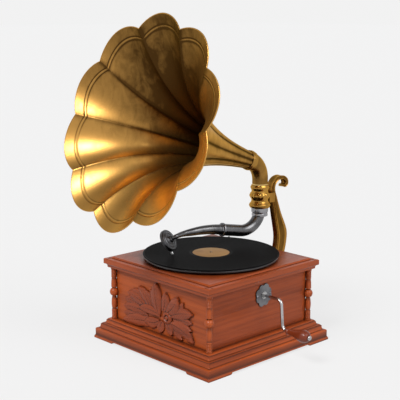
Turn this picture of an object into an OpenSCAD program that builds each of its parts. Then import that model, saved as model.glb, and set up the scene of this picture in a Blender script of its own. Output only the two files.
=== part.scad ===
// Wind-up gramophone with a ten-petal brass horn on a square wooden cabinet.
// Origin: on the table, under the middle of the cabinet and the spindle.
// +Z is up, the carved front faces -Y, the crank is on the +X side, the horn bracket is at the back.

/* [Cabinet] */
// Outer width of the wooden box, wall face to wall face
box_w = 296; // [280:1:310]
// Thickness of the four cabinet walls
wall_t = 11; // [8:0.5:14]
// Height of the cabinet walls above the base moulding
wall_h = 118; // [110:1:130]
// Height of the moulded plinth from the table to its top step
plinth_h = 45.5; // [42:0.5:50]
// How far the plinth stands out of the walls at the floor
plinth_out = 37.5; // [34:0.5:42]
// Clear height under the skirt, between the bracket feet
foot_gap = 4.5; // [4:0.1:5]
// Length of each bracket foot along the wall
foot_l = 62; // [45:1:80]
// Thickness of the bottom board
floor_t = 8; // [5:0.5:10]
// Overhang of the motor board past the walls
board_out = 20; // [19:0.5:24]
// Thickness of the motor board at its edge
board_t = 12; // [10:0.5:16]
// Height of the raised field on top of the motor board
field_h = 3.5; // [2:0.5:4]
// Distance of the raised field from the edge of the board
field_in = 13; // [9:0.5:16]
// Height of the cove moulding under the board
cove_h = 8; // [6:0.5:11]
// Diameter of the turned corner columns at the ball
column_d = 21; // [17:0.5:22]
// Width of the carved spray on the front
carving_w = 227; // [215:1:232]

/* [Platter and record] */
// Diameter of the record
record_d = 300; // [290:1:304]
// Thickness of the record
record_t = 2.1; // [1.5:0.1:3]
// Diameter of the paper label
label_d = 81; // [70:1:95]
// Diameter of the metal platter
platter_d = 296; // [284:1:300]
// Thickness of the platter rim
platter_t = 5; // [4:0.5:6]
// Gap between the raised field and the platter
platter_gap = 3.5; // [2.5:0.5:6]
// Thickness of the felt mat
mat_t = 1; // [0.8:0.1:1.5]
// Diameter of the spindle end that centres the record
pin_d = 7.2; // [6:0.1:7.6]

/* [Horn] */
// Number of petals round the mouth
petals = 10; // [8:1:12]
// Radius of the mouth at the creases between the petals
mouth_r = 203.4; // [190:0.5:215]
// How far each petal bulges past the crease circle, as a share of the radius
petal_bulge = 0.116; // [0.06:0.002:0.14]
// Radius of the horn at the throat
throat_r = 18.4; // [16:0.1:19]
// Length over which the flare grows e-fold
flare_l = 115; // [95:1:140]
// Thickness of the sheet brass
sheet_t = 1.4; // [1:0.1:2]
// Upward tilt of the horn axis in degrees
horn_tilt = 18.9; // [14:0.1:24]
// Distance from the swivel axis to the mouth along the horn axis
mouth_reach = 385; // [360:1:400]
// Height at which the horn axis crosses the swivel axis
horn_cross_z = 377.5; // [372:0.5:384]
// Bend radius of the elbow
elbow_bend = 48; // [44:0.5:52]
// Outer radius of the elbow at its lower end
elbow_r = 17.9; // [17.2:0.1:18.4]

/* [Tone arm] */
// Distance of the swivel axis behind the spindle
swivel_y = 155; // [150:0.5:158]
// Angle of the arm at rest, towards the left of straight ahead
arm_turn = 11; // [9:0.5:17]
// Outer radius of the arm tube
arm_r = 13.4; // [12.8:0.1:13.8]
// Bore of the arm tube
arm_bore = 12; // [11:0.1:12.2]
// Bend radius of the arm tube
arm_bend = 46; // [43:0.5:50]
// Height of the arm's lowest centre line point
arm_low_z = 228.5; // [225:0.5:232]
// Rise of the straight arm after the bend, in degrees
arm_rise = 9.5; // [6:0.5:11]
// Length of the straight tube after the bend
arm_tail = 53; // [50:0.5:60]
// Radius of the soundbox
box_r = 24.5; // [23:0.5:26]

/* [Crank] */
// Height of the crank axis above the table
crank_z = 131.5; // [128:0.5:135]
// Distance of the crank axis behind the spindle
crank_y = 10; // [6:0.5:14]
// Throw of the crank
crank_throw = 62.7; // [56:0.5:75]
// Radius of the crank rod
rod_r = 3.4; // [3:0.1:4]
// Length of the wooden grip
grip_l = 58; // [48:1:70]
// Largest radius of the grip
grip_r = 13.3; // [11:0.1:15]

/* [Motor] */
// Teeth of the spring barrel
barrel_teeth = 72; // [72:12:84]
// Module of the barrel gear
barrel_m = 1.2; // [1.15:0.05:1.25]
// Teeth of the intermediate wheel
wheel_teeth = 60; // [54:6:60]
// Teeth of each pinion
pinion_teeth = 12; // [12:1:14]
// Distance between the two motor plates
plate_gap = 55; // [54:1:60]
// Thickness of the motor plates
plate_t = 3; // [2:0.5:4]
// Running clearance on each radius
fit = 0.05; // [0.03:0.01:0.08]
// Seating gap between loose faces
seat = 0.3; // [0.2:0.05:0.4]

/* [Hidden] */
$fn = 48;
WOOD = [0.60, 0.27, 0.14];
BRASS = [0.72, 0.53, 0.24];
STEEL = [0.62, 0.63, 0.64];
DARK = [0.20, 0.20, 0.21];

// Heights of the cabinet, from the table up
box_h = box_w / 2;
plinth_half = box_h + plinth_out;
wall_top = plinth_h + wall_h;
board_z = wall_top + cove_h;
board_top = board_z + board_t;
field_z = board_top + field_h;
board_half = box_h + board_out;
floor_top = foot_gap + floor_t;
column_at = box_h + 8;

// Heights of the turntable
platter_z = field_z + platter_gap;
mat_z = platter_z + platter_t;
record_z = mat_z + mat_t;
record_top = record_z + record_t;

// ---- shared shapes ----
// Point on a Catmull-Rom curve through the rows of p, at parameter u
function pick(p, i) = p[max(0, min(len(p) - 1, i))];
function spline(p, u) =
    let (i = min(len(p) - 2, floor(u)), t = u - i,
        a = pick(p, i - 1), b = p[i], c = p[i + 1], d = pick(p, i + 2))
    0.5 * (2 * b + t * (c - a) + t * t * (2 * a - 5 * b + 4 * c - d)
        + t * t * t * (3 * b - 3 * c + d - a));
function unit(v) = v / norm(v);
// Circle of n points round c, in the plane square to t, started from the side vector s
function ring(c, t, s, r, n) =
    let (x = unit(s - (s * t) * t), y = cross(t, x))
    [for (k = [0:n - 1]) c + r * (cos(360 * k / n) * x + sin(360 * k / n) * y)];

// Closed skin over rings of equal count; joined makes the last ring run back into the first
module skin(rings, joined = false) {
    n = len(rings[0]);
    m = len(rings);
    last = joined ? m - 1 : m - 2;
    sides = [for (i = [0:last], k = [0:n - 1])
        let (j = (i + 1) % m, l = (k + 1) % n)
        each [[i * n + k, i * n + l, j * n + k], [i * n + l, j * n + l, j * n + k]]];
    caps = joined ? [] : [[for (k = [n - 1:-1:0]) k], [for (k = [0:n - 1]) (m - 1) * n + k]];
    polyhedron(points = [for (q = rings) each q], faces = concat(sides, caps), convexity = 8);
}

// Hollow tube along points p with radii r, wall w, side vector s
module pipe(p, r, w, s, n = 20) {
    m = len(p);
    t = [for (i = [0:m - 1]) unit(p[min(m - 1, i + 1)] - p[max(0, i - 1)])];
    outer = [for (i = [0:m - 1]) ring(p[i], t[i], s, r[i], n)];
    inner = [for (i = [m - 1:-1:0]) ring(p[i], t[i], s, r[i] - w, n)];
    skin(concat(inner, outer), true);
}

// Involute gear outline: n teeth of module m, addendum a and dedendum d in modules
function inv(x) = tan(x) * 180 / PI - x;
function half_tooth(r, n, m, slack) =
    let (rp = n * m / 2, rb = rp * cos(20))
    90 / n - slack * 180 / (PI * rp) + inv(20) - (r > rb ? inv(acos(rb / r)) : 0);
function gear(n, m, a = 0.85, d = 1.1, slack = 0.14) =
    let (rp = n * m / 2, r0 = rp - d * m, r1 = max(r0 + 0.05, rp * cos(20)), r3 = rp + a * m,
        rr = [r0, r1, rp, r3])
    [for (i = [0:n - 1])
        each concat(
            [for (r = rr) let (q = 360 * i / n - half_tooth(r, n, m, slack)) [r * cos(q), r * sin(q)]],
            [for (k = [3:-1:0]) let (r = rr[k], q = 360 * i / n + half_tooth(r, n, m, slack))
                [r * cos(q), r * sin(q)]])];

// The same teeth with straight flanks, four points each
function plain_gear(n, m, a, d, slack) =
    let (rp = n * m / 2, rr = [rp - d * m, rp + a * m])
    [for (i = [0:n - 1]) each concat(
        [for (r = rr) let (q = 360 * i / n - half_tooth(max(r, rp * cos(20)), n, m, slack)) [r * cos(q), r * sin(q)]],
        [for (k = [1:-1:0]) let (r = rr[k], q = 360 * i / n + half_tooth(max(r, rp * cos(20)), n, m, slack))
            [r * cos(q), r * sin(q)]])];

// Round bar or tube
module tube(r, bore, h) {
    difference() {
        cylinder(r = r, h = h);
        translate([0, 0, -1]) cylinder(r = bore, h = h + 2);
    }
}

// Square moulding: the solid whose outline at height z is a square of the profile's half width
module square_stack(p) {
    w = plinth_half + board_half;
    outline = concat([for (q = p) [q[0], q[1]]], [for (k = [len(p) - 1:-1:0]) [-p[k][0], p[k][1]]]);
    intersection() {
        rotate([90, 0, 0]) translate([0, 0, -w]) linear_extrude(2 * w) polygon(outline);
        rotate([90, 0, 90]) translate([0, 0, -w]) linear_extrude(2 * w) polygon(outline);
    }
}
// Quarter round from a to b; hollow for a cove, full for a bead
function quarter(a, b, hollow, n = 5) =
    [for (k = [0:n]) let (q = 90 * k / n)
        hollow ? [b[0] + (a[0] - b[0]) * (1 - sin(q)), a[1] + (b[1] - a[1]) * (1 - cos(q))]
            : [a[0] + (b[0] - a[0]) * (1 - cos(q)), a[1] + (b[1] - a[1]) * sin(q)]];

// ---- cabinet ----
step_out = [plinth_out, plinth_out - 2.4, plinth_out - 5, plinth_out - 12.3, plinth_out - 21.6];
step_z = [0, plinth_h * 0.1, plinth_h * 0.46, plinth_h * 0.52, plinth_h * 0.72, plinth_h * 0.78];
plinth_profile = concat(
    [[plinth_half, 0], [plinth_half, step_z[1]]],
    [[box_h + step_out[1], step_z[1] + 3], [box_h + step_out[1], step_z[2]]],
    quarter([box_h + step_out[1], step_z[2]], [box_h + step_out[2] - 3, step_z[3]], false, 4),
    quarter([box_h + step_out[2] - 3, step_z[3]], [box_h + step_out[3] + 1.5, step_z[4]], true, 4),
    quarter([box_h + step_out[3], step_z[4]], [box_h + step_out[3] - 4, step_z[5]], false, 4),
    quarter([box_h + step_out[3] - 4, step_z[5]], [box_h + step_out[4] + 1.5, plinth_h - 3], true, 4),
    quarter([box_h + step_out[4], plinth_h - 3], [box_h + step_out[4] - 3, plinth_h], false, 4));

// Opening between two bracket feet, with the quarter-round inner ends of a sawn foot
module skirt_gap() {
    half = plinth_half - foot_l;
    for (a = [0, 90]) rotate([0, 0, a])
        translate([0, plinth_half + 10, 0]) rotate([90, 0, 0]) linear_extrude(2 * plinth_half + 20)
            polygon(concat([[-half, -1]], [for (k = [0:4]) [-half + foot_gap * sin(22.5 * k),
                foot_gap * (1 - cos(22.5 * k)) * 0.5 + foot_gap * k / 8]],
                [for (k = [4:-1:0]) [half - foot_gap * sin(22.5 * k),
                foot_gap * (1 - cos(22.5 * k)) * 0.5 + foot_gap * k / 8]], [[half, -1]]));
}

module plinth() {
    color(WOOD) difference() {
        square_stack(plinth_profile);
        translate([-box_h, -box_h, floor_top]) cube([box_w, box_w, plinth_h]);
        translate([-box_h - 3, -box_h - 3, -1]) cube([box_w + 6, box_w + 6, floor_top + 1]);
        skirt_gap();
    }
}

module bottom_board() {
    color([0.62, 0.48, 0.32]) translate([-box_h - 3, -box_h - 3, foot_gap])
        cube([box_w + 6, box_w + 6, floor_t]);
}

// A wall standing on the bottom board, in the y = -box_h plane
module wall(w) {
    translate([-w / 2, -box_h, floor_top]) cube([w, wall_t, wall_top - floor_top]);
}
module front_panel() { color(WOOD) wall(box_w); }
module back_panel() {
    color(WOOD) difference() {
        mirror([0, 1, 0]) wall(box_w);
        for (q = bracket_holes) translate([q[0], box_h + 1, q[1]]) rotate([90, 0, 0])
            cylinder(r = screw_r, h = wall_t + 2);
    }
}
module left_panel() { color(WOOD) rotate([0, 0, -90]) wall(box_w - 2 * wall_t); }
module right_panel() {
    color(WOOD) difference() {
        rotate([0, 0, 90]) wall(box_w - 2 * wall_t);
        translate([box_h - wall_t - 1, crank_y, crank_z]) rotate([0, 90, 0])
            cylinder(r = bush_r, h = wall_t + 2);
        for (s = [-1, 1]) translate([box_h - 8, crank_y + s * scallop_screw, crank_z])
            rotate([0, 90, 0]) cylinder(r = screw_r, h = 9);
    }
}

// Turned column: beads at both ends, long vase tapers and a ball at mid height
module column() {
    r = column_d / 2;
    h = wall_h;
    mid = h * 0.52;
    foot = concat([[0, 0], [7.5, 0], [7.5, 3], [5.4, 4.5], [5.4, 8]],
        [for (k = [1:4]) [5.4 + 1.1 * sin(45 * k), 8 + k]],
        [for (k = [0:8]) [4.8 + 1.4 * sin(22.5 * k), 12.6 + (mid - 23.6) * k / 8]]);
    ball = [for (k = [0:12]) let (q = -66 + 11 * k) [r * cos(q), mid + (r - 2.4) * sin(q)]];
    top = concat([for (k = [0:8]) [5.2 + 1.5 * sin(22.5 * (8 - k) / 1.25) * (1 - k / 10),
            mid + 11 + (h - mid - 26) * k / 8]],
        [for (k = [0:4]) [5.2 + 1.3 * sin(45 * k), h - 14.5 + k]],
        [[5.2, h - 7], [6.4, h - 6], [6.4, h - 3.5], [7, h - 3], [7, h], [0, h]]);
    rotate_extrude($fn = 40) polygon(concat(foot, ball, top));
}
module corner_columns() {
    color(WOOD) for (x = [-1, 1], y = [-1, 1])
        translate([x * column_at, y * column_at, plinth_h]) column();
}

module cove_moulding() {
    half = column_at + 7.5;
    color(WOOD) difference() {
        square_stack(concat([[half - 1.5, wall_top], [half - 1.5, wall_top + 1.5]],
            [for (k = [0:5]) [half - 1.5 + 3.5 * (1 - cos(18 * k)), wall_top + 1.5 + (cove_h - 1.5) * sin(18 * k)]]));
        translate([wall_t - box_h, wall_t - box_h, wall_top - 1])
            cube([box_w - 2 * wall_t, box_w - 2 * wall_t, cove_h + 2]);
    }
}

module motor_board() {
    b = board_half;
    f = board_half - field_in;
    color(WOOD) difference() {
        square_stack(concat([[b - 1.2, board_z], [b, board_z + 1.2], [b, board_top - 1.5]],
            [[b - 1.5, board_top], [f + 2, board_top], [f + 2, board_top - 1], [f, board_top - 1]],
            [[f, board_top + 0.6], [f - 2.6, field_z]]));
        translate([0, 0, board_z - 1]) cylinder(r = spindle_r + 2.5, h = board_t + field_h + 2);
        // slot for the finger of the speed lever
        hull() for (a = [-5.2, 3.7]) translate(speed_pivot) rotate([0, 0, a + speed_dir])
            translate([speed_reach, 0, board_z - 1]) cylinder(r = 3.2, h = board_t + field_h + 2);
        translate([brake_at[0], brake_at[1], field_z - 9]) cylinder(r = 2.5, h = 12);
        for (q = pillar_at) translate([q[0], q[1], board_z - 1]) cylinder(r = 2.5, h = bolt_l + 1.5);
    }
}

// Carved blade on the front from p to q (x, z): width w, bowed sideways by b, raised h
function blade(p, q, w, b, tip = 0) =
    let (d = q - p, l = norm(d), u = d / l, v = [-u[1], u[0]],
        mid = [for (k = [0:6]) let (t = k / 6) p + d * t + v * b * 4 * t * (1 - t)],
        half = [for (k = [0:6]) let (t = k / 6) w / 2 * max(tip, 0.34 + 0.66 * sin(180 * pow(t, 0.8)) - 0.34 * t)])
    concat([for (k = [0:6]) mid[k] + v * half[k]], [for (k = [6:-1:0]) mid[k] - v * (half[k] + 0.05)]);
module relief(h, outline) {
    translate([0, -box_h, 0]) rotate([90, 0, 0]) linear_extrude(h) polygon(outline);
}
flower = [24, 87];
// Acanthus lobes that fan out to the left of the flower: tip, width, bow, height
lobes = [[[-39, 141], 24, -7, 2.6], [[-61, 139], 20, -9, 3.2], [[-80, 135], 20, -10, 2.4],
    [[-96, 126], 20, -9, 3.2], [[-114, 115], 22, -8, 2.5], [[-121, 98], 20, -5, 3.3],
    [[-123, 82], 20, -2, 2.6], [[-122, 65], 21, 3, 3.4]];
module front_carving() {
    f = flower;
    color(WOOD * 0.95) resize([carving_w, 0, 0]) {
        for (q = lobes) relief(q[3], blade(f - [18, 2], q[0], q[1], q[2]));
        relief(4.2, blade([-16, 58], [-121, 50], 30, -5, 0.1));
        relief(3.8, blade(f + [-6, 6], [-10, 155], 26, -5));
        relief(2.8, blade(f + [0, 8], [8, 143], 22, -3));
        relief(3.5, blade(f + [4, 8], [20, 133], 22, -3));
        relief(4.2, blade(f + [6, 5], [57, 134], 30, -4, 0.45));
        relief(2.6, blade(f + [12, 4], [72, 128], 15, -3));
        relief(3.4, blade(f + [10, 1], [102, 111], 32, 4, 0.2));
        relief(2.7, blade(f + [10, -2], [99, 82], 26, 3, 0.2));
        relief(4, blade(f + [8, -6], [104, 51], 30, 12));
        relief(3, blade(f + [4, -9], [66, 48], 24, 4, 0.4));
        relief(3.6, blade(f + [0, -8], [37, 56], 24, 2, 0.5));
        relief(2.6, blade(f + [-6, -6], [-2, 60], 22, -3, 0.4));
        translate([f[0], -box_h, f[1]]) rotate([90, 0, 0]) {
            cylinder(r = 11.5, h = 4.6, $fn = 20);
            for (k = [0:4]) rotate([0, 0, 72 * k + 18]) translate([7.5, 0, 0]) cylinder(r = 6.2, h = 5.4, $fn = 16);
            cylinder(r = 4.4, h = 6.6, $fn = 12);
        }
    }
}

// ---- crank fittings on the right wall ----
screw_r = 1.9;
bush_r = 8;
shaft_r = 5.5;
plate_x = box_h;
scallop_r = 24;
scallop_screw = 19;
module crank_escutcheon() {
    color(STEEL) translate([plate_x, crank_y, crank_z]) rotate([0, 90, 0]) difference() {
        union() {
            cylinder(r = scallop_r - 7, h = 2.4);
            for (k = [0:7]) rotate([0, 0, 45 * k + 22.5])
                translate([scallop_r - 8, 0, 0]) cylinder(r = k % 2 == 0 ? 8 : 9, h = 2.4);
        }
        translate([0, 0, -1]) cylinder(r = bush_r, h = 5);
        for (s = [-1, 1]) translate([0, s * scallop_screw, -1]) cylinder(r = screw_r, h = 5);
    }
}
module crank_bush() {
    color(STEEL * 0.8) translate([box_h - wall_t, crank_y, crank_z]) rotate([0, 90, 0])
        tube(bush_r - fit, shaft_r + fit, wall_t + 3.6);
}

// Round-head screw whose head sits on z = 0 and shank goes down
module screw(l, head = 3.6) {
    translate([0, 0, -l]) cylinder(r = screw_r - fit, h = l + 0.5);
    difference() {
        intersection() {
            cylinder(r = head, h = 2.2);
            translate([0, 0, -2.4]) sphere(r = 4.6);
        }
        translate([-head - 1, -0.4, 1.3]) cube([2 * head + 2, 0.8, 2]);
    }
}
module wood_screws() {
    color(STEEL * 0.7) {
        for (s = [-1, 1]) translate([plate_x + 2.4, crank_y + s * scallop_screw, crank_z])
            rotate([0, 90, 0]) screw(9);
        for (q = bracket_holes) translate([q[0], box_h + bracket_pad, q[1]])
            rotate([-90, 0, 0]) screw(bracket_pad + wall_t - 2);
    }
}

// ---- horn bracket ----
bracket_w = 18;
bracket_pad = 6;
bracket_holes = [for (x = [-19, 19], z = [96, 134]) [x, z]];
// Centre line (y, z) and depth of the cast S arm, from the foot plate to the scroll's tip
bracket_line = concat([for (q = [[4, 114, 30], [20, 116, 26], [44, 126, 25], [63, 144, 26], [73, 166, 26],
    [78, 190, 27], [78, 208, 28]]) [box_h + q[0], q[1], q[2]]],
    [for (q = [[65, 228, 24], [57, 250, 18], [49.5, 274, 13.5], [43, 294, 12], [37.5, 312, 10.5],
    [39.5, 326, 9.5], [48, 335.5, 9], [60, 340, 8.5], [73, 339, 8], [83, 332, 7.4], [84.5, 323, 6.8],
    [78, 318.5, 6.2], [72.5, 321.5, 5.4]]) [swivel_y + q[0], q[1], q[2]]]);
// Fluted section: full width at both edges, hollow in the middle of each side
function flute(w, d) = [for (q = [[-0.5, -0.5], [-0.32, -0.42], [-0.14, -0.42], [0, -0.5], [0.14, -0.42],
    [0.32, -0.42], [0.5, -0.5], [0.42, -0.28], [0.42, 0.22], [0.5, 0.5], [0.2, 0.46], [-0.2, 0.46], [-0.5, 0.5],
    [-0.42, 0.22], [-0.42, -0.28]]) [q[0] * w, q[1] * d]];
module horn_bracket() {
    m = 2 * (len(bracket_line) - 1);
    p = [for (i = [0:m]) spline(bracket_line, i / 2)];
    rings = [for (i = [0:m])
        let (a = p[max(0, i - 1)], b = p[min(m, i + 1)], t = unit([0, b[0] - a[0], b[1] - a[1]]),
            n = cross([1, 0, 0], t), c = [0, p[i][0], p[i][1]],
            w = bracket_w - 1.5 * max(0, i - 2 * 12) / 14)
        [for (q = flute(w, p[i][2])) c + [q[0], 0, 0] + n * q[1]]];
    color(BRASS * 0.8) {
        difference() {
            union() {
                skin(rings);
                // saddle that carries the socket
                translate([-9, swivel_y + 12, socket_low + 8]) cube([18, 30, 22]);
            }
            translate([0, swivel_y, socket_low - 5]) cylinder(r = socket_r + 0.1, h = 60);
            translate([-20, box_h - 8, 80]) cube([40, 8, 70]);
        }
        // foot plate on the back wall
        translate([0, box_h, 0]) rotate([-90, 0, 0]) difference() {
            linear_extrude(bracket_pad) difference() {
                union() {
                    translate([-27, -142]) square([54, 54]);
                    translate([0, -142]) circle(r = 18);
                    translate([0, -88]) circle(r = 18);
                }
                for (q = bracket_holes) translate([q[0], -q[1]]) circle(r = screw_r);
            }
        }
    }
}

// ---- socket that holds the horn and the arm ----
socket_low = 278;
socket_top = 330;
socket_r = 24.5;
horn_bore = 16.5;
neck_bore = 13.5;
module horn_socket() {
    body = concat([[neck_bore, socket_low], [socket_r - 1.5, socket_low]],
        [for (k = [0:5]) [socket_r - 1.5 + 1.5 * sin(36 * k), socket_low + 1 + 1.7 * k]],
        [[socket_r - 3.6, socket_low + 11]],
        [for (k = [0:5]) [socket_r - 3.6 - 1.6 * sin(36 * k), socket_low + 12 + 1.8 * k]],
        [for (k = [0:6]) [socket_r - 3 + 2.6 * sin(30 * k), socket_low + 22 + 2 * k]],
        [for (k = [0:4]) [socket_r - 4.6 - 0.8 * sin(45 * k), socket_low + 35 + 1.6 * k]],
        [for (k = [0:4]) [socket_r - 4 + 1.2 * sin(45 * k), socket_low + 43 + 1.7 * k]],
        [[socket_r - 4.6, socket_top], [horn_bore, socket_top], [horn_bore, socket_low + 18],
            [11, socket_low + 18], [11, socket_low + 14], [neck_bore, socket_low + 14]]);
    color(BRASS) translate([0, swivel_y, 0]) rotate_extrude($fn = 64) polygon(body);
}

// ---- motor ----
spindle_r = 5;
bolt_l = 9;
plate_z1 = board_z - plate_t;
plate_z0 = plate_z1 - plate_gap - plate_t;
barrel_at = [70, crank_y];
barrel_pr = barrel_teeth * barrel_m / 2;
pinion_pr = pinion_teeth * barrel_m / 2;
wheel_m = 1;
wheel_pr = wheel_teeth * wheel_m / 2;
spin_pr = pinion_teeth * wheel_m / 2;
// The intermediate arbor is where both gear distances are met
d_bar = barrel_pr + pinion_pr;
d_spin = wheel_pr + spin_pr;
d_axes = norm(barrel_at);
along = (d_spin * d_spin + d_axes * d_axes - d_bar * d_bar) / (2 * d_axes);
across = sqrt(d_spin * d_spin - along * along);
inter_at = [(barrel_at[0] * along + barrel_at[1] * across) / d_axes,
    (barrel_at[1] * along - barrel_at[0] * across) / d_axes];
inter_dir = atan2(inter_at[1], inter_at[0]);
barrel_dir = atan2(inter_at[1] - barrel_at[1], inter_at[0] - barrel_at[0]);
arbor_r = 4.5;
inter_r = 2.5;
barrel_z = crank_z + 10.5;
barrel_h = plate_z1 - barrel_z - 4;
wheel_z = plate_z0 + plate_t + 13;
pillar_at = [[-60, -44], [116, -44], [116, 62], [-60, 78]];
gov_teeth = 48;
gov_starts = 4;
gov_pr = gov_teeth / 2;
worm_pr = 5;
gov_x = -(gov_pr + worm_pr);
gov_z = plate_z1 - 24;
ratchet_r = 15;
ratchet_n = 24;
click_l = 22;
click_at = [barrel_at[0] + click_l, barrel_at[1] - ratchet_r - 4];

module plate_outline() {
    difference() {
        hull() for (q = pillar_at) translate(q) circle(r = 8, $fn = 32);
        for (q = pillar_at) translate(q) circle(r = 2.5);
        circle(r = spindle_r + fit);
        translate(barrel_at) circle(r = arbor_r + fit);
        translate(inter_at) circle(r = inter_r + fit);
    }
}
module motor_top_plate() {
    color(STEEL * 0.8) translate([0, 0, plate_z1]) linear_extrude(plate_t) difference() {
        plate_outline();
        translate([speed_pivot[0], speed_pivot[1]]) circle(r = 2.5);
    }
}
module motor_bottom_plate() {
    color(STEEL * 0.8) difference() {
        union() {
            translate([0, 0, plate_z0]) linear_extrude(plate_t) plate_outline();
            // lug that carries the inner end of the winding shaft
            translate([lug_x, crank_y - 9, plate_z0]) cube([6, 18, crank_z - plate_z0 + 8]);
        }
        translate([lug_x - 3, crank_y, crank_z]) rotate([0, 90, 0]) cylinder(r = shaft_r + fit, h = 12);
        translate([click_at[0], click_at[1], plate_z0 - 1]) cylinder(r = 2 + fit, h = plate_t + 2);
    }
}
module motor_pillars() {
    color(STEEL) for (q = pillar_at) translate([q[0], q[1], plate_z0 - 3]) {
        cylinder(r = 2.5 - fit, h = plate_gap + 2 * plate_t + 3 + bolt_l);
        cylinder(r = 4.5, h = 3, $fn = 6);
        translate([0, 0, plate_t + 3]) cylinder(r = 5, h = plate_gap);
    }
}
module governor_bearings() {
    color(STEEL * 0.7) for (y = [-18, 60]) difference() {
        union() {
            translate([gov_x - 5, y - 2, gov_z]) cube([10, 4, plate_z1 - gov_z]);
            translate([gov_x, y + 2, gov_z]) rotate([90, 0, 0]) cylinder(r = 5, h = 4);
        }
        translate([gov_x, y + 3, gov_z]) rotate([90, 0, 0]) cylinder(r = 1.6 + fit, h = 6);
    }
}

module spindle() {
    color(STEEL) {
        translate([0, 0, plate_z0]) cylinder(r = spin_pr - 1.15 * wheel_m, h = mat_z - 1 - plate_z0);
        translate([0, 0, plate_z0]) cylinder(r = spindle_r, h = wheel_z - 1 - plate_z0);
        translate([0, 0, wheel_z - 1]) rotate([0, 0, inter_dir]) linear_extrude(6)
            polygon(gear(pinion_teeth, wheel_m));
        translate([0, 0, wheel_z + 5]) cylinder(r = spindle_r, h = mat_z - 6 - wheel_z);
        translate([0, 0, platter_z - 2]) cylinder(r = 9, h = 2);
        translate([0, 0, mat_z - 2]) cylinder(r = pin_d / 2, h = record_top + 1 - mat_z);
        translate([0, 0, record_top - 1]) intersection() {
            cylinder(r = pin_d / 2, h = 3);
            sphere(r = pin_d / 2 - 0.1);
        }
    }
}
module platter() {
    r = platter_d / 2;
    color(DARK * 0.6) difference() {
        translate([0, 0, platter_z]) rotate_extrude($fn = 120) polygon([[spindle_r + 4, 0],
            [16, 0], [18, platter_t - 2.4], [r - 10, platter_t - 2.4], [r - 8, 0], [r - 1, 0],
            [r, 1], [r, platter_t - 1], [r - 1, platter_t], [spindle_r + fit, platter_t],
            [spindle_r + fit, 0]]);
    }
}
module felt_mat() {
    color([0.18, 0.28, 0.20]) translate([0, 0, mat_z])
        tube(platter_d / 2 - 4, pin_d / 2 + 0.6, mat_t);
}
module record() {
    r = record_d / 2;
    l = label_d / 2;
    color(DARK * 0.5) translate([0, 0, record_z]) rotate_extrude($fn = 120) polygon([
        [pin_d / 2 + fit, 0], [r - 1, 0], [r, record_t / 2], [r - 1, record_t], [l + 6, record_t],
        [l + 5, record_t - 0.3], [l + 0.2, record_t - 0.3], [l + 0.2, record_t - 0.5],
        [pin_d / 2 + fit, record_t - 0.5]]);
}
module record_label() {
    color([0.74, 0.58, 0.38]) translate([0, 0, record_top - 0.5])
        tube(label_d / 2, pin_d / 2 + fit, 0.5);
}
// Helical wheel that drives the governor
module governor_drive_wheel() {
    w = 8;
    color(BRASS) translate([0, 0, gov_z - w / 2]) difference() {
        union() {
            rotate([0, 0, 180 - w * gov_lead * 90 / PI / gov_pr]) linear_extrude(height = w, twist = -w * gov_lead * 180 / PI / gov_pr,
                slices = 2, $fn = 12) polygon(plain_gear(gov_teeth, 1, 0.7, 0.95, 0.3));
            translate([0, 0, -4]) cylinder(r = 10, h = w + 8);
        }
        translate([0, 0, -5]) cylinder(r = spindle_r + fit, h = w + 10);
    }
}

// Barrel: toothed rim, drum wall, floor and lid
module spring_barrel() {
    r = barrel_pr - 2.2;
    color(BRASS * 0.9) translate([barrel_at[0], barrel_at[1], barrel_z]) difference() {
        union() {
            rotate([0, 0, barrel_dir]) linear_extrude(5) polygon(gear(barrel_teeth, barrel_m));
            cylinder(r = r, h = barrel_h);
            translate([0, 0, barrel_h]) cylinder(r = 9, h = 3);
        }
        translate([0, 0, -1]) cylinder(r = arbor_r + fit, h = barrel_h + 6);
        translate([0, 0, 1.6]) cylinder(r = r - 2, h = barrel_h - 3.2);
    }
}
// Steel ribbon wound in an even spiral from the arbor hub to the drum wall
module mainspring() {
    r0 = 9.5;
    r1 = barrel_pr - 4.2;
    turns = 7;
    n = turns * 20;
    t = 1.1;
    function at(k, off) = let (a = 360 * k / 20, r = r0 + (r1 - r0 - t) * k / n + off) [r * cos(a), r * sin(a)];
    color(STEEL * 0.6) translate([barrel_at[0], barrel_at[1], barrel_z + 2])
        linear_extrude(barrel_h - 4)
            polygon(concat([for (k = [0:n]) at(k, 0)], [for (k = [n:-1:0]) at(k, t)]));
}
module winding_arbor() {
    color(STEEL) translate([barrel_at[0], barrel_at[1], 0]) {
        translate([0, 0, plate_z0]) cylinder(r = arbor_r, h = plate_gap + 2 * plate_t);
        translate([0, 0, barrel_z + 2.2]) cylinder(r = 9, h = barrel_h - 4.4);
    }
}
bevel_k = 2;
bevel_n = 16;
bevel_m = 1;
bevel_face = 0.28;
nose_r = 3.4;
lug_x = 116;
module bevel_wheel() {
    n = bevel_n * bevel_k;
    r = n * bevel_m / 2;
    z = crank_z - r / bevel_k;
    wheel_l = bevel_face * r / bevel_k + 3;
    color(BRASS) translate([barrel_at[0], barrel_at[1], z]) resize([0, 0, wheel_l]) difference() {
        union() {
            linear_extrude(height = wheel_l - 3, scale = 1 - bevel_face, $fn = 12)
                polygon(plain_gear(n, bevel_m, 0.95, 2.3, 0.22));
            translate([0, 0, -3]) cylinder(r = r - 4.5, h = 3.5);
        }
        translate([0, 0, -5]) cylinder(r = arbor_r + fit, h = 12);
    }
}
module ratchet_wheel() {
    n = ratchet_n;
    color(STEEL * 0.8) translate([barrel_at[0], barrel_at[1], plate_z0 + plate_t + 0.4])
        rotate([0, 0, -93]) linear_extrude(3) difference() {
            polygon([for (k = [0:n - 1]) let (a = 360 * k / n) each [ratchet_r * [cos(a), sin(a)],
                (ratchet_r - 2.2) * [cos(a + 2), sin(a + 2)]]]);
            circle(r = arbor_r + fit);
        }
}
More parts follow.
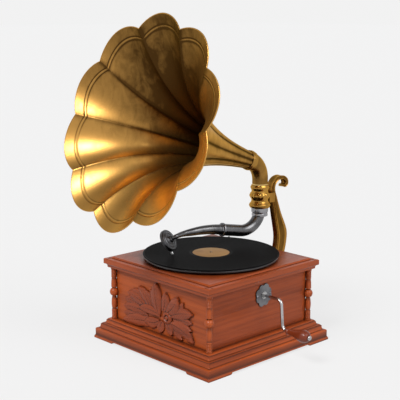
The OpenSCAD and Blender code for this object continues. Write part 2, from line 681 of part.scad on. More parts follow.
// Pawl drawn with its point just clear of a tooth tip; it drops into the gap beside it
module click() {
    l = click_l;
    color(STEEL) translate([click_at[0], click_at[1], 0]) {
        translate([0, 0, plate_z0]) cylinder(r = 2, h = plate_t + 4.4);
        translate([0, 0, plate_z0 + plate_t + 0.4]) linear_extrude(3) union() {
            circle(r = 4);
            polygon([[0.4 - l, 4 - seat], [4 - l, 2.2], [0, 3.6], [0, -3.6], [-0.4 - l, 1.2]]);
        }
    }
}
module intermediate_wheel() {
    color(BRASS * 0.9) translate([inter_at[0], inter_at[1], 0]) {
        translate([0, 0, plate_z0]) cylinder(r = inter_r, h = plate_gap + 2 * plate_t);
        translate([0, 0, wheel_z]) rotate([0, 0, inter_dir + 180 + 180 / wheel_teeth]) linear_extrude(3)
            difference() {
                polygon(gear(wheel_teeth, wheel_m));
                for (k = [0:4]) rotate([0, 0, 72 * k]) translate([wheel_pr * 0.56, 0]) circle(r = 6.5);
            }
        translate([0, 0, wheel_z + 3]) cylinder(r = 4.5, h = barrel_z - 1 - wheel_z - 3);
        translate([0, 0, barrel_z - 1]) rotate([0, 0, barrel_dir + 180 + 180 / pinion_teeth])
            linear_extrude(7) polygon(gear(pinion_teeth, barrel_m));
    }
}

// ---- governor ----
gov_lead = gov_starts / (2 * worm_pr);
module gov_place() { translate([gov_x, 0, gov_z]) rotate([-90, 0, 0]) children(); }
module governor_shaft() {
    l = 11;
    lead = gov_starts * PI;
    color(STEEL) gov_place() {
        translate([0, 0, -20]) cylinder(r = 1.6, h = 82);
        translate([0, 0, 13]) cylinder(r = 4.5, h = 4);
        translate([0, 0, -l / 2]) rotate([0, 0, 45 - 180 * l / lead]) linear_extrude(height = l,
            twist = -360 * l / lead, slices = 16, $fn = 12)
            polygon([for (k = [0:gov_starts - 1]) each [for (q = [[-14, 5.7], [14, 5.7], [22, 4.1], [68, 4.1]])
                [q[1] * cos(q[0] + 90 * k), q[1] * sin(q[0] + 90 * k)]]]);
    }
}
spring_t = 0.6;
module governor_springs() {
    color(STEEL * 0.9) gov_place() for (k = [0:2]) rotate([0, 0, 120 * k + 30])
        translate([-2.5, 0, 0]) rotate([90, 0, 90]) linear_extrude(5)
            polygon(concat([for (i = [0:10]) [4.5 + 7 * sin(18 * i), 13.5 + 32.5 * i / 10]],
                [for (i = [10:-1:0]) [4.5 + spring_t + 7 * sin(18 * i), 13.5 + 32.5 * i / 10]]));
}
module governor_weights() {
    color(DARK) gov_place() for (k = [0:2]) rotate([0, 0, 120 * k + 30])
        translate([0, 4.5 + spring_t + 7, 29.75]) rotate([-90, 0, 0]) {
            cylinder(r = 5.2, h = 5.2);
        }
}
module governor_disc() {
    color(BRASS) gov_place() translate([0, 0, disc_face - 6]) {
        tube(4.5, 1.6 + fit, 4);
        translate([0, 0, 4]) tube(12, 1.6 + fit, 2);
    }
}

// ---- speed lever and brake ----
lever_t = 2.5;
speed_pivot = [-58, 52, 0];
finger_at = (platter_d / 2 + 13.03) * [cos(142.06), sin(142.06), 0];
speed_dir = atan2(finger_at[1] - speed_pivot[1], finger_at[0] - speed_pivot[0]);
speed_reach = norm(finger_at - speed_pivot);
speed_z = plate_z1 - lever_t - seat;
disc_face = 50;
pad_at = [gov_x - 8.5, disc_face + 1.9];
module speed_lever() {
    tab = [pad_at[0], pad_at[1] + 4.7, 0];
    a = atan2(tab[1] - speed_pivot[1], tab[0] - speed_pivot[0]);
    color(STEEL) {
        translate([speed_pivot[0], speed_pivot[1], speed_z]) {
            linear_extrude(lever_t) union() {
                circle(r = 6);
                rotate([0, 0, a]) translate([0, -3]) square([norm(tab - speed_pivot), 6]);
                rotate([0, 0, speed_dir]) translate([0, -3]) square([speed_reach + 3, 6]);
            }
            translate([0, 0, 1]) cylinder(r = 2.5 - fit, h = plate_z1 + plate_t - speed_z - 1);
            rotate([0, 0, speed_dir]) translate([speed_reach, 0, 2]) {
                cylinder(r = 2.4, h = field_z + 6 - speed_z - 2);
                translate([0, 0, field_z + seat - speed_z - 2]) cylinder(r = 4.5, h = 4);
            }
        }
        translate([pad_at[0] - 3, pad_at[1] + 3.2, gov_z - 5]) cube([6, 3, speed_z - gov_z + 6]);
    }
}
module friction_pad() {
    color([0.5, 0.42, 0.3]) translate([pad_at[0], pad_at[1] + 3.2, gov_z]) rotate([90, 0, 0])
        cylinder(r = 2.8, h = 3.2);
}
// The brake swings about a pin in the board; its pad meets the rim of the platter
brake_at = (platter_d / 2 + 17.6) * [cos(127.15), sin(127.15)];
brake_polar = 134.8;
brake_r = platter_d / 2 + seat;
brake_end = (brake_r + 4) * [cos(brake_polar), sin(brake_polar)];
brake_dir = atan2(brake_end[1] - brake_at[1], brake_end[0] - brake_at[0]);
brake_l = norm(brake_end - brake_at);
module brake_lever() {
    color(STEEL) {
        translate([brake_at[0], brake_at[1], 0]) {
            translate([0, 0, field_z - 8.5]) cylinder(r = 2.5 - fit, h = 11);
            translate([0, 0, field_z + seat]) rotate([0, 0, brake_dir]) {
                linear_extrude(2.2) union() {
                    circle(r = 5);
                    translate([0, -3]) square([brake_l + 2, 6]);
                    rotate([0, 0, 165]) translate([0, -2.5]) square([20, 5]);
                }
                rotate([0, 0, 165]) translate([18, 0, 1]) cylinder(r = 2.5, h = 6);
            }
        }
        rotate([0, 0, brake_polar]) translate([brake_r + 2.5, -3, field_z + seat]) cube([3, 6, 7]);
    }
}
module brake_pad() {
    color([0.35, 0.2, 0.12]) rotate([0, 0, brake_polar]) translate([brake_r, -3, field_z + seat + 2.5])
        cube([2.5, 6, 4.5]);
}

// ---- crank ----
grip_x = box_h + 69;
rod_bend = 12;
rod_lean = 4.5;
rod_len = (crank_throw - 2 * rod_bend * (1 - sin(rod_lean))) / cos(rod_lean);
rod_x1 = grip_x - 2.4 - 2 * rod_bend * cos(rod_lean) - rod_len * sin(rod_lean);
grip_z = crank_z - crank_throw;
module winding_shaft() {
    x0 = barrel_at[0] + bevel_n * bevel_k * bevel_m / 2 + 0.2;
    color(STEEL) translate([x0, crank_y, crank_z]) rotate([0, 90, 0]) difference() {
        union() {
            translate([0, 0, -bevel_face * bevel_n * bevel_k * bevel_m / 2 - 1]) cylinder(r = nose_r, h = 8);
            cylinder(r = shaft_r, h = box_h + 5.5 - x0);
            translate([0, 0, lug_x - seat - 3 - x0]) cylinder(r = 8, h = 3);
        }
        translate([0, 0, box_h - 6 - x0]) cylinder(r = rod_r + fit, h = 20);
    }
}
module bevel_pinion() {
    n = bevel_n;
    x1 = barrel_at[0] + bevel_n * bevel_k * bevel_m / 2;
    h = bevel_face * bevel_n * bevel_k * bevel_m / 2;
    color(BRASS) translate([x1, crank_y, crank_z]) rotate([0, -90, 0]) rotate([0, 0, 180 / n]) difference() {
        linear_extrude(height = h, scale = 1 - bevel_face, $fn = 12) polygon(plain_gear(n, bevel_m, 0.75, 1.1, 0.22));
        translate([0, 0, -1]) cylinder(r = nose_r + fit, h = h + 2);
    }
}
// Bent steel rod: shaft end, arm and grip pin in one piece, with a riveted end
module crank_handle() {
    z1 = crank_z;
    x2 = rod_x1 + rod_bend * cos(rod_lean);
    z2 = z1 - rod_bend * (1 - sin(rod_lean));
    x4 = x2 + rod_len * sin(rod_lean) + rod_bend * cos(rod_lean);
    bends = concat([[rod_x1 - 1, z1]],
        [for (k = [0:6]) let (q = 90 - (90 - rod_lean) * k / 6) [rod_x1, z1 - rod_bend] + rod_bend * [cos(q), sin(q)]],
        [for (k = [0:6]) let (q = 180 + rod_lean + (90 - rod_lean) * k / 6) [x4, grip_z + rod_bend] + rod_bend * [cos(q), sin(q)]],
        [[x4 + 1, grip_z]]);
    n = len(bends);
    color(STEEL) translate([0, crank_y, 0]) {
        skin([for (i = [0:n - 1]) let (d = bends[min(n - 1, i + 1)] - bends[max(0, i - 1)])
            ring([bends[i][0], 0, bends[i][1]], -unit([d[0], 0, d[1]]), [0, 1, 0], rod_r - 0.04, 16)]);
        translate([box_h - 5.8, 0, z1]) rotate([0, 90, 0]) cylinder(r = rod_r, h = rod_x1 - box_h + 5.8);
        translate([x4, 0, grip_z]) rotate([0, 90, 0]) {
            cylinder(r = rod_r, h = grip_x + grip_l + 3 - x4);
            translate([0, 0, grip_x - x4 - 1.6]) cylinder(r = 5.5, h = 1.3);
            translate([0, 0, grip_x + grip_l + seat - x4]) {
                cylinder(r = 5, h = 2);
                translate([0, 0, 2]) intersection() {
                    translate([0, 0, -3.5]) sphere(r = 6);
                    cylinder(r = 5, h = 3);
                }
            }
        }
    }
}
module crank_grip() {
    l = grip_l;
    g = grip_r;
    side = concat([[rod_r + fit, 0], [6.6, 0], [7.4, 0.8], [7.4, 3.2], [6.4, 4.6]],
        [for (k = [1:10]) let (u = k / 10) [6.4 + (g - 6.4) * (1 - cos(180 * pow(u, 1.15))) / 2, 4.6 + (l * 0.76 - 4.6) * u]],
        [for (k = [1:7]) let (q = 12 * k) [g - 6 + 6 * cos(q) - 0.02 * q, l * 0.76 + (l * 0.24 - 0.8) * sin(q) / sin(84)]],
        [[rod_r + fit, l]]);
    color(WOOD * 0.85) translate([grip_x, crank_y, grip_z]) rotate([0, 90, 0])
        rotate_extrude() polygon(side);
}

// ---- horn ----
elbow_turn = 90 - horn_tilt;
elbow_tan = elbow_bend * tan(elbow_turn / 2);
collar_l = 6;
horn_l = mouth_reach - elbow_tan - collar_l;
elbow_low = socket_top + 3;
module horn_place() { translate([0, swivel_y, horn_cross_z]) rotate([elbow_turn, 0, 0]) children(); }
// Crease radius at distance s behind the mouth: an exponential flare
function flare(s) = throat_r + (mouth_r - throat_r) * (exp(-s / flare_l) - exp(-horn_l / flare_l))
    / (1 - exp(-horn_l / flare_l));
function petal(a) = let (u = ((a * petals / 360 + 0.5) % 1 + 1) % 1 * 2 - 1) 1 - pow(abs(u), 1.9);
function bulge(s) = petal_bulge * (1 - 0.25 * s / horn_l);
// One ring of the skin: s behind the mouth, pushed out by o
function horn_ring(s, o) =
    [for (k = [0:petals * 8 - 1]) let (a = 360 * k / (petals * 8), r = flare(s) * (1 + bulge(s) * petal(a)) + o)
        [r * sin(a), r * cos(a), mouth_reach - s]];
// Places along the horn; the third value is the height of the rolled edge and the bead
horn_stations = [[0, 0, 0.5], [2, 1, 1.1], [4.5, 0, 0], [8.5, 0, 0], [12.4, 0, 0], [13.8, 1, 1], [15.2, 0, 0],
    [21, 0, 0], [29, 0, 0], [40, 0, 0], [54, 0, 0], [72, 0, 0], [94, 0, 0], [120, 0, 0], [150, 0, 0],
    [186, 0, 0], [226, 0, 0], [270, 0, 0], [312, 0, 0], [horn_l, 0, 0]];
module horn() {
    n = len(horn_stations);
    slope = [for (q = horn_stations) let (d = (flare(q[0] + 1) - flare(q[0]))) sheet_t / sqrt(1 + d * d)];
    lean = [for (i = [0:n - 1]) let (q = horn_stations[i], d = (flare(q[0] + 1) - flare(q[0]))) -d * slope[i]];
    outer = [for (i = [0:n - 1]) horn_ring(horn_stations[i][0], horn_stations[i][2])];
    inner = [for (i = [n - 1:-1:0]) let (q = horn_stations[i], o = q[2] * q[1] - slope[i])
        [for (v = horn_ring(q[0], o)) v + [0, 0, i == n - 1 ? 0 : lean[i]]]];
    color(BRASS) horn_place() skin(concat(inner, outer), true);
}
module throat_collar() {
    r = throat_r * (1 + petal_bulge * 0.75) + 0.15;
    z = mouth_reach - horn_l;
    h = flare(horn_l - 7) * (1 + bulge(horn_l)) + 0.25;
    color(BRASS * 0.9) horn_place() translate([0, 0, z - 9]) rotate_extrude() polygon(concat(
        [[r, 0], [r + 1.8, 0]], [for (k = [0:6]) [r + 1.6 + 1.3 * sin(30 * k), 2 + 2 * k]],
        [[r + 1.8, 16], [h, 16], [h, 8.8], [r, 8.8]]));
}
module horn_elbow() {
    y0 = swivel_y - elbow_bend;
    z0 = horn_cross_z - elbow_tan;
    p = concat([for (k = [0:1]) let (d = collar_l * (1 - k)) [0, y0 + elbow_bend * cos(elbow_turn) - d * cos(horn_tilt) + 0,
            z0 + elbow_bend * sin(elbow_turn) + d * sin(horn_tilt)]],
        [for (k = [1:9]) let (q = elbow_turn * (1 - k / 9)) [0, y0 + elbow_bend * cos(q), z0 + elbow_bend * sin(q)]],
        [[0, swivel_y, elbow_low]]);
    n = len(p);
    r0 = throat_r * (1 + petal_bulge * 0.75);
    r = [for (i = [0:n - 1]) r0 + (elbow_r - r0) * i / (n - 1)];
    color(BRASS * 0.85) pipe(p, r, 1.8, [1, 0, 0], 28);
}
module horn_spigot() {
    color(BRASS * 0.8) translate([0, swivel_y, 0]) rotate_extrude() polygon([[14.4, socket_low + 19],
        [horn_bore - fit, socket_low + 19], [horn_bore - fit, socket_top + seat], [elbow_r, socket_top + seat],
        [elbow_r, elbow_low], [14.4, elbow_low]]);
}

// ---- tone arm ----
// Arm frame: x along the arm, y to its right, z up, from the swivel axis
module arm_place() { translate([0, swivel_y, 0]) rotate([0, 0, -90 - arm_turn]) children(); }
arm_cz = arm_low_z + arm_bend;
arm_x1 = arm_bend + arm_bend * sin(arm_rise);
arm_z1 = arm_cz - arm_bend * cos(arm_rise);
module tail_place() { arm_place() translate([arm_x1, 0, arm_z1]) rotate([0, 90 - arm_rise, 0]) children(); }
collar_low = 258;
module arm_collar() {
    z = socket_low - seat;
    color(STEEL) translate([0, swivel_y, 0]) rotate_extrude() polygon([[16.9, collar_low],
        [18.2, collar_low], [18.2, collar_low + 5], [17.7, collar_low + 6], [17.7, collar_low + 7.5],
        [19.2, collar_low + 9.5], [19.4, z - 2.4], [18.8, z], [neck_bore - fit, z],
        [neck_bore - fit, socket_low + 13.4], [10.5, socket_low + 13.4], [10.5, arm_cz + 2.5],
        [arm_r + fit, arm_cz + 2.5], [arm_r + fit, arm_cz - 0.4], [16.9, arm_cz - 4]]);
}
module arm_tube() {
    color(STEEL * 0.55) {
        arm_place() translate([0, 0, arm_cz]) tube(arm_r, arm_bore, 2.3);
        arm_place() translate([arm_bend, 0, arm_cz]) rotate([90, 0, 0]) rotate([0, 0, 180])
            rotate_extrude(angle = 90 + arm_rise, $fn = 64) translate([arm_bend, 0]) difference() {
                circle(r = arm_r, $fn = 40);
                circle(r = arm_bore, $fn = 40);
            }
        tail_place() tube(arm_r, arm_bore, arm_tail);
        // lap inside the wall where the straight tube is soldered to the bend
        tail_place() translate([0, 0, -1.5]) tube(arm_r - 0.4, arm_bore + 0.4, 3);
    }
}
module arm_ring() {
    color(STEEL * 0.6) tail_place() translate([0, 0, arm_tail - 6]) rotate_extrude() polygon([
        [arm_r, 0], [arm_r + 0.8, 0], [arm_r + 2.1, 1.4], [arm_r + 2.1, 4.6], [arm_r + 0.8, 6], [arm_r, 6]]);
}
module gooseneck_sleeve() {
    color(STEEL * 0.6) tail_place() translate([0, 0, arm_tail - 14]) rotate_extrude() polygon([
        [arm_bore - 1.4, 0], [arm_bore - fit, 0], [arm_bore - fit, 14 + seat], [arm_bore + 0.5, 14 + seat],
        [arm_bore + 0.5, 17], [arm_bore - 1.4, 17]]);
}
// Soundbox: centre, tilt and turn in the arm frame
snd_at = [240.8, -3.8, 229.8];
snd_tilt = 31.3;
snd_turn = 33;
snd_axis = [-sin(snd_turn) * cos(snd_tilt), cos(snd_turn) * cos(snd_tilt), sin(snd_tilt)];
neck_p0 = [arm_x1 + (arm_tail + 3) * cos(arm_rise), 0, arm_z1 + (arm_tail + 3) * sin(arm_rise)];
// It leaves the sleeve straight, so that its end lies flat on the sleeve
neck_line = [neck_p0 + 2.5 * [cos(arm_rise), 0, sin(arm_rise)], [134, 0, 241.6], [160, 0, 242.7],
    [186, 0.4, 241.8], [206, 2.4, 241.4], [217, 5.6, 241.1], [225, 8.8, 240.6], [231, 9.6, 239.6], snd_at + 15.5 * snd_axis,
    snd_at + 12 * snd_axis, snd_at + 8.4 * snd_axis];
neck_radii = [arm_bore - 0.3, 10.8, 9.7, 8.2, 6.4, 5.7, 5.2, 4.9, 4.6, 4.6, 4.6];
module gooseneck() {
    m = 2 * (len(neck_line) - 1);
    p = concat([neck_p0], [for (i = [0:m]) spline(neck_line, i / 2)]);
    r = concat([neck_radii[0]], [for (i = [0:m]) spline([for (q = neck_radii) [q]], i / 2)[0]]);
    color(STEEL * 0.55) arm_place() pipe(p, r, 1.2, [0, 0, 1], 16);
}

// ---- soundbox ----
// Its frame: x points down along the needle, z points back to the gooseneck
module snd_place() { arm_place() translate(snd_at) rotate([0, 90 - snd_tilt, 90 + snd_turn]) children(); }
module soundbox_case() {
    r = box_r;
    color(DARK * 1.4) snd_place() union() {
        rotate_extrude($fn = 64) polygon([[4.7, 2.4], [r - 3, 2.4], [r - 3, -4.6], [r - 0.8, -4.6], [r, -3.8],
            [r, -1.6], [r - 0.8, -1], [r, -0.4], [r, 2.2], [r - 1.4, 4], [r - 6, 5.2], [r * 0.5, 6],
            [8.6, 6.4], [7.6, 7.2], [7.6, 11], [6.8, 12], [4.7, 12]]);
        // lug that the stylus bar rocks on
        translate([r - 2.6, -4, -4.6]) cube([3.2, 8, 5]);
    }
}
module diaphragm_gaskets() {
    color(DARK) snd_place() for (z = [-1.4, 0.9]) translate([0, 0, z]) tube(box_r - 3.1, box_r - 6.5, 1.5);
}
module diaphragm() {
    color([0.75, 0.72, 0.62]) snd_place() translate([0, 0, 0.1]) cylinder(r = box_r - 3.6, h = 0.8);
}
module face_ring() {
    color(STEEL * 0.7) snd_place() rotate_extrude() polygon([[box_r - 7, -4.4], [box_r - 6, -5], [box_r - 4, -5],
        [box_r - 3.1, -4.4], [box_r - 3.1, -1.4], [box_r - 7, -1.4]]);
}
// Stylus bar: foot on the diaphragm, bar over the ring, saddle on the lug, chuck for the needle
chuck_z = -6.6;
chuck_r = 2.3;
chuck_l = 5;
chuck_x = box_r + 0.8;
needle_r = 0.8;
module stylus_bar() {
    color(STEEL * 0.8) snd_place() difference() {
        union() {
            translate([-1.2, -1.2, -7.2]) cube([chuck_x + 2, 2.4, 1.4]);
            translate([-1.2, -1.2, -7.2]) cube([2.4, 2.4, 7.3]);
            translate([box_r - 1.9, -3, -7.2]) cube([2, 6, 2.6]);
            translate([chuck_x, 0, chuck_z]) rotate([0, 90, 0]) cylinder(r = chuck_r, h = chuck_l);
        }
        translate([chuck_x + 1, 0, chuck_z]) rotate([0, 90, 0]) cylinder(r = needle_r + fit, h = 6);
        translate([chuck_x + 2.8, 0, chuck_z]) rotate([90, 0, 0]) cylinder(r = 0.9, h = 4);
    }
}
// Length along the needle at which its point is one seat above the record
needle_tip = (snd_at[2] + chuck_z * sin(snd_tilt) - record_top - seat) / cos(snd_tilt);
module needle() {
    color(STEEL) snd_place() translate([0, 0, chuck_z]) rotate([0, 90, 0]) {
        rotate_extrude($fn = 24) polygon([[0, chuck_x + 1.2], [needle_r, chuck_x + 1.2],
            [needle_r, needle_tip - 3], [0.15, needle_tip], [0, needle_tip]]);
    }
}
module needle_screw() {
    color(STEEL) snd_place() translate([chuck_x + 2.8, 0, chuck_z]) rotate([90, 0, 0]) {
        translate([0, 0, 1]) cylinder(r = 0.85, h = 2.2);
        translate([0, 0, 2.8]) cylinder(r = 2.4, h = 2.4, $fn = 24);
    }
}

plinth();
bottom_board();
front_panel();
back_panel();
left_panel();
right_panel();
corner_columns();
cove_moulding();
motor_board();
front_carving();
crank_escutcheon();
wood_screws();
crank_bush();
horn_bracket();
horn_socket();
motor_top_plate();
motor_bottom_plate();
motor_pillars();
governor_bearings();
spindle();
platter();
felt_mat();
record();
record_label();
governor_drive_wheel();
spring_barrel();
mainspring();
winding_arbor();
bevel_wheel();
ratchet_wheel();
click();
intermediate_wheel();
governor_shaft();
governor_springs();
governor_weights();
governor_disc();
speed_lever();
friction_pad();
brake_lever();
brake_pad();
winding_shaft();
bevel_pinion();
crank_handle();
crank_grip();
horn();
throat_collar();
horn_elbow();
horn_spigot();
arm_collar();
arm_tube();
arm_ring();
gooseneck();
gooseneck_sleeve();
soundbox_case();
diaphragm();
diaphragm_gaskets();
face_ring();
stylus_bar();
needle();
needle_screw();
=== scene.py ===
import math

import bmesh
import bpy
import numpy as np
from mathutils import Matrix


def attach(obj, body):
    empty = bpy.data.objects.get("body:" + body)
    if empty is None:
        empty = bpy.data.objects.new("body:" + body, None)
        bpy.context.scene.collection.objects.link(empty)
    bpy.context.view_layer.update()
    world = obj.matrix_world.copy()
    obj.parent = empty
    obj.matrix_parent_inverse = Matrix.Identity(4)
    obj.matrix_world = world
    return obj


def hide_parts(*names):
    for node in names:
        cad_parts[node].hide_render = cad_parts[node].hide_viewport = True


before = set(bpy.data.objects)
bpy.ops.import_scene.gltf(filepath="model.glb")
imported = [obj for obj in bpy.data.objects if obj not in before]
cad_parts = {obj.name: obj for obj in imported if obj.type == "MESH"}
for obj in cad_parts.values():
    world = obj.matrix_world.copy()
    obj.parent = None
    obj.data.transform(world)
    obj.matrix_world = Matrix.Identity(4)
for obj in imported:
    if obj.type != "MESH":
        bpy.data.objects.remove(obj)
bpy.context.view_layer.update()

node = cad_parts


# Base moulding
# Four strips of mahogany with a stepped ogee, mitred and glued round the foot of the box. The lowest
# member is a skirt whose ends reach the table as sawn bracket feet.
def quads(p, round_u=True, round_v=False, cap=False):
    """Points and faces of a grid p[u, v]: one quad a cell; round_u and round_v join the last row or
    column to the first, and cap closes the first and the last ring of v with one face each."""
    nu, nv = p.shape[:2]
    i = np.arange(nu if round_u else nu - 1)[:, None]
    j = np.arange(nv if round_v else nv - 1)[None, :]
    i2, j2 = (i + 1) % nu, (j + 1) % nv
    cells = np.stack(np.broadcast_arrays(i * nv + j, i2 * nv + j, i2 * nv + j2, i * nv + j2), -1)
    rows = np.arange(nu) * nv
    ends = [rows[::-1].tolist(), (rows + nv - 1).tolist()] if cap else []
    return p.reshape(-1, 3), cells.reshape(-1, 4), ends


def added(name, data):
    """A new object of the scene that shows the data: a mesh, a lamp or a camera."""
    o = bpy.data.objects.new(name, data)
    bpy.context.scene.collection.objects.link(o)
    return o


def stand_for(piece, body, source):
    """The piece rides on body, and takes the place of the CAD node source, which is hidden."""
    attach(piece, body)
    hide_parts(source)


def made(name, shells, body, source, finish, crease=35, marks=None):
    """One piece out of closed shells given in millimetres, in place of the CAD node source. Doubles at
    poles are merged, faces turned outwards, and edges sharper than crease degrees stay crisp. marks are
    values for each point, by attribute name."""
    points, cells, caps, start = [], [], [], 0
    for p, q, c in shells:
        points.append(p)
        cells.append(q + start)
        caps += [[k + start for k in f] for f in c]
        start += len(p)
    faces = np.concatenate(cells).tolist() + caps
    mesh = bpy.data.meshes.new(name)
    mesh.from_pydata((np.concatenate(points) * 0.001).tolist(), [], faces)
    for key, values in (marks or {}).items():
        layer = mesh.attributes.new(key, "FLOAT", "POINT")
        layer.data.foreach_set("value", np.asarray(values, np.float32).ravel())
    b = bmesh.new()
    b.from_mesh(mesh)
    bmesh.ops.remove_doubles(b, verts=b.verts, dist=2e-7)
    bmesh.ops.recalc_face_normals(b, faces=b.faces)
    b.to_mesh(mesh)
    b.free()
    mesh.polygons.foreach_set("use_smooth", np.ones(len(mesh.polygons), bool))
    mesh.set_sharp_from_angle(angle=math.radians(crease))
    mesh.materials.append(finish)
    piece = added(name, mesh)
    stand_for(piece, body, source)
    return piece


def feed(tree, n, **ins):
    """Gives a shader node its inputs: each is a value or another node's output. Names use _ for a space,
    and i6 means the input at place 6."""
    for key, value in ins.items():
        s = n.inputs[int(key[1:]) if key[1:].isdigit() else key.replace("_", " ")]
        if isinstance(value, bpy.types.NodeSocket):
            tree.links.new(value, s)
        else:
            s.default_value = value


def put(tree, kind, props=None, **ins):
    """A new shader node with its settings and inputs."""
    n = tree.nodes.new("ShaderNode" + kind)
    for key, value in (props or {}).items():
        setattr(n, key, value)
    feed(tree, n, **ins)
    return n


def object_place(tree):
    """The point's place on the object, in metres."""
    return put(tree, "TexCoord").outputs["Object"]


def blend_of(tree, share, a, b):
    """Colour a turned into colour b by share."""
    props = {"data_type": "RGBA", "blend_type": "MIX", "clamp_factor": True}
    return put(tree, "Mix", props, i0=share, i6=a, i7=b).outputs[2]


def maths(tree, how, a, b=0.0, c=0.0, clamp=False):
    """One step of arithmetic on values or outputs."""
    return put(tree, "Math", {"operation": how, "use_clamp": clamp}, i0=a, i1=b, i2=c).outputs[0]


def scaled(tree, value, factor, plus=0.0, clamp=False):
    """value times factor, plus more."""
    return maths(tree, "MULTIPLY_ADD", value, factor, plus, clamp)


def band(tree, value, low, high):
    """0 below low, 1 above high, smooth between."""
    props = {"interpolation_type": "SMOOTHSTEP"}
    return put(tree, "MapRange", props, i0=value, i1=low, i2=high).outputs[0]


def noise(tree, where, scale, detail=3.0, rough=0.55, stretch=(1, 1, 1), warp=0.0):
    """Fractal noise about 0.5, with its pattern stretched along the axes."""
    m = put(tree, "Mapping", i0=where, i3=stretch)
    return put(tree, "TexNoise", i2=scale, Vector=m.outputs[0], Detail=detail, Roughness=rough,
        Distortion=warp).outputs[0]


def effect(name, ins, outs):
    """A shader node group with named inputs and outputs: (group, inputs, output node)."""
    g = bpy.data.node_groups.new(name, "ShaderNodeTree")
    for key, kind, value in ins:
        g.interface.new_socket(key, in_out="INPUT", socket_type="NodeSocket" + kind).default_value = value
    for key, kind in outs:
        g.interface.new_socket(key, in_out="OUTPUT", socket_type="NodeSocket" + kind)
    return g, g.nodes.new("NodeGroupInput").outputs, g.nodes.new("NodeGroupOutput")


def use(tree, group, **ins):
    """The outputs of a node group put into a tree."""
    n = tree.nodes.new("ShaderNodeGroup")
    n.node_tree = group
    feed(tree, n, **ins)
    return n.outputs


def finish_of(name, metal=0.0, coat=0.0, specular=0.5):
    """An empty material: (material, its tree, its Principled shader)."""
    m = bpy.data.materials.new(name)
    m.use_nodes = True
    s = m.node_tree.nodes["Principled BSDF"]
    s.inputs["Metallic"].default_value = metal
    s.inputs["Coat Weight"].default_value = coat
    s.inputs["Coat Roughness"].default_value = 0.22
    s.inputs["Specular IOR Level"].default_value = specular
    return m, m.node_tree, s


def set_look(tree, shader, colour, rough, height, depth, strength=1.0):
    """Colour, roughness and the bump of a height from 0 to 1 that stands for depth metres."""
    bump = put(tree, "Bump", Strength=strength, Distance=depth, Height=height).outputs[0]
    feed(tree, shader, Base_Color=colour, Roughness=rough, Normal=bump)


# Mahogany figure: long fibres and ribbon bands along x of the vector, short pores, polish worn on them,
# and painted shade in its hollows
surface = [("Color", "Color"), ("Rough", "Float"), ("Height", "Float")]
figure, given, result = effect("mahogany figure", [
    ("Along", "Vector", (0, 0, 0)),
    ("Light", "Color", (0.46, 0.13, 0.045, 1)),
    ("Dark", "Color", (0.22, 0.05, 0.018, 1)),
    ("Hollow", "Float", 0.0)], surface)
bands = noise(figure, given["Along"], 9.0, 4, 0.6, (0.16, 1.6, 1.6), 0.9)
fibres = noise(figure, given["Along"], 60.0, 5, 0.7, (0.05, 1.8, 1.8), 0.4)
clouds = noise(figure, given["Along"], 5.0, 2, 0.5, (0.6, 1, 1))
pores = band(figure, noise(figure, given["Along"], 420.0, 2, 0.6, (0.06, 1.6, 1.6)), 0.62, 0.72)
share = band(figure, scaled(figure, bands, 0.55, scaled(figure, fibres, 0.45)), 0.36, 0.66)
share = scaled(figure, share, 0.75, scaled(figure, clouds, 0.3), clamp=True)
tone = blend_of(figure, share, given["Light"], given["Dark"])
tone = blend_of(figure, scaled(figure, pores, 0.35), tone, (0.06, 0.016, 0.008, 1))
# Hollow paints shade: the wood turns almost black in its corners and hollows
tone = blend_of(figure, given["Hollow"], tone, (0.028, 0.007, 0.003, 1))
feed(figure, result, Color=tone, Rough=scaled(figure, fibres, 0.22, 0.27),
    Height=scaled(figure, fibres, 0.5, scaled(figure, pores, -0.6)))

# How shut in a point is, for painted shade: 0 in the open, 1 deep in a corner, where shade falls and
# polish and dust gather
corners, given, result = effect("corner shade and gathered polish", [
    ("Reach", "Float", 0.006),
    ("Amount", "Float", 1.0)], [("Hollow", "Float")])
open_sky = put(corners, "AmbientOcclusion", {"samples": 8, "only_local": False},
    Distance=given["Reach"]).outputs["AO"]
feed(corners, result,
    Hollow=scaled(corners, band(corners, open_sky, 0.86, 0.36), given["Amount"], clamp=True))


def mahogany(name, grain, light=(0.46, 0.088, 0.017, 1), dark=(0.19, 0.032, 0.007, 1), polish=0.08,
        reach=0.006, mark=None):
    """Polished mahogany. grain is x, y or z for the way the fibres run, or mitred for strips that turn at
    the corners. mark names the piece's own map of painted shade in its hollows."""
    m, t, s = finish_of(name, coat=polish, specular=0.22)
    place = object_place(t)
    xyz = put(t, "SeparateXYZ", i0=place).outputs
    if grain == "mitred":
        side = maths(t, "GREATER_THAN", maths(t, "ABSOLUTE", xyz[0]), maths(t, "ABSOLUTE", xyz[1]))
        lifted = maths(t, "ADD", xyz[2], 0.37)
        crossed = put(t, "CombineXYZ", i0=xyz[1], i1=xyz[0], i2=lifted).outputs[0]
        along = put(t, "Mix", {"data_type": "VECTOR"}, i0=side, i4=place, i5=crossed).outputs[1]
    else:
        first, second, third = {"x": (0, 1, 2), "y": (1, 0, 2), "z": (2, 0, 1)}[grain]
        along = put(t, "CombineXYZ", i0=xyz[first], i1=xyz[second], i2=xyz[third]).outputs[0]
    # Painted shade in the corners, from ambient occlusion, with the piece's own painted shade laid over
    # it where marked
    hollow = use(t, corners, Reach=reach, Amount=0.75)["Hollow"]
    if mark:
        hollow = maths(t, "MAXIMUM", hollow, put(t, "Attribute", {"attribute_name": mark}).outputs["Fac"])
    f = use(t, figure, Along=along, Light=light, Dark=dark, Hollow=hollow)
    set_look(t, s, f["Color"], f["Rough"], f["Height"], 0.00025)
    return m


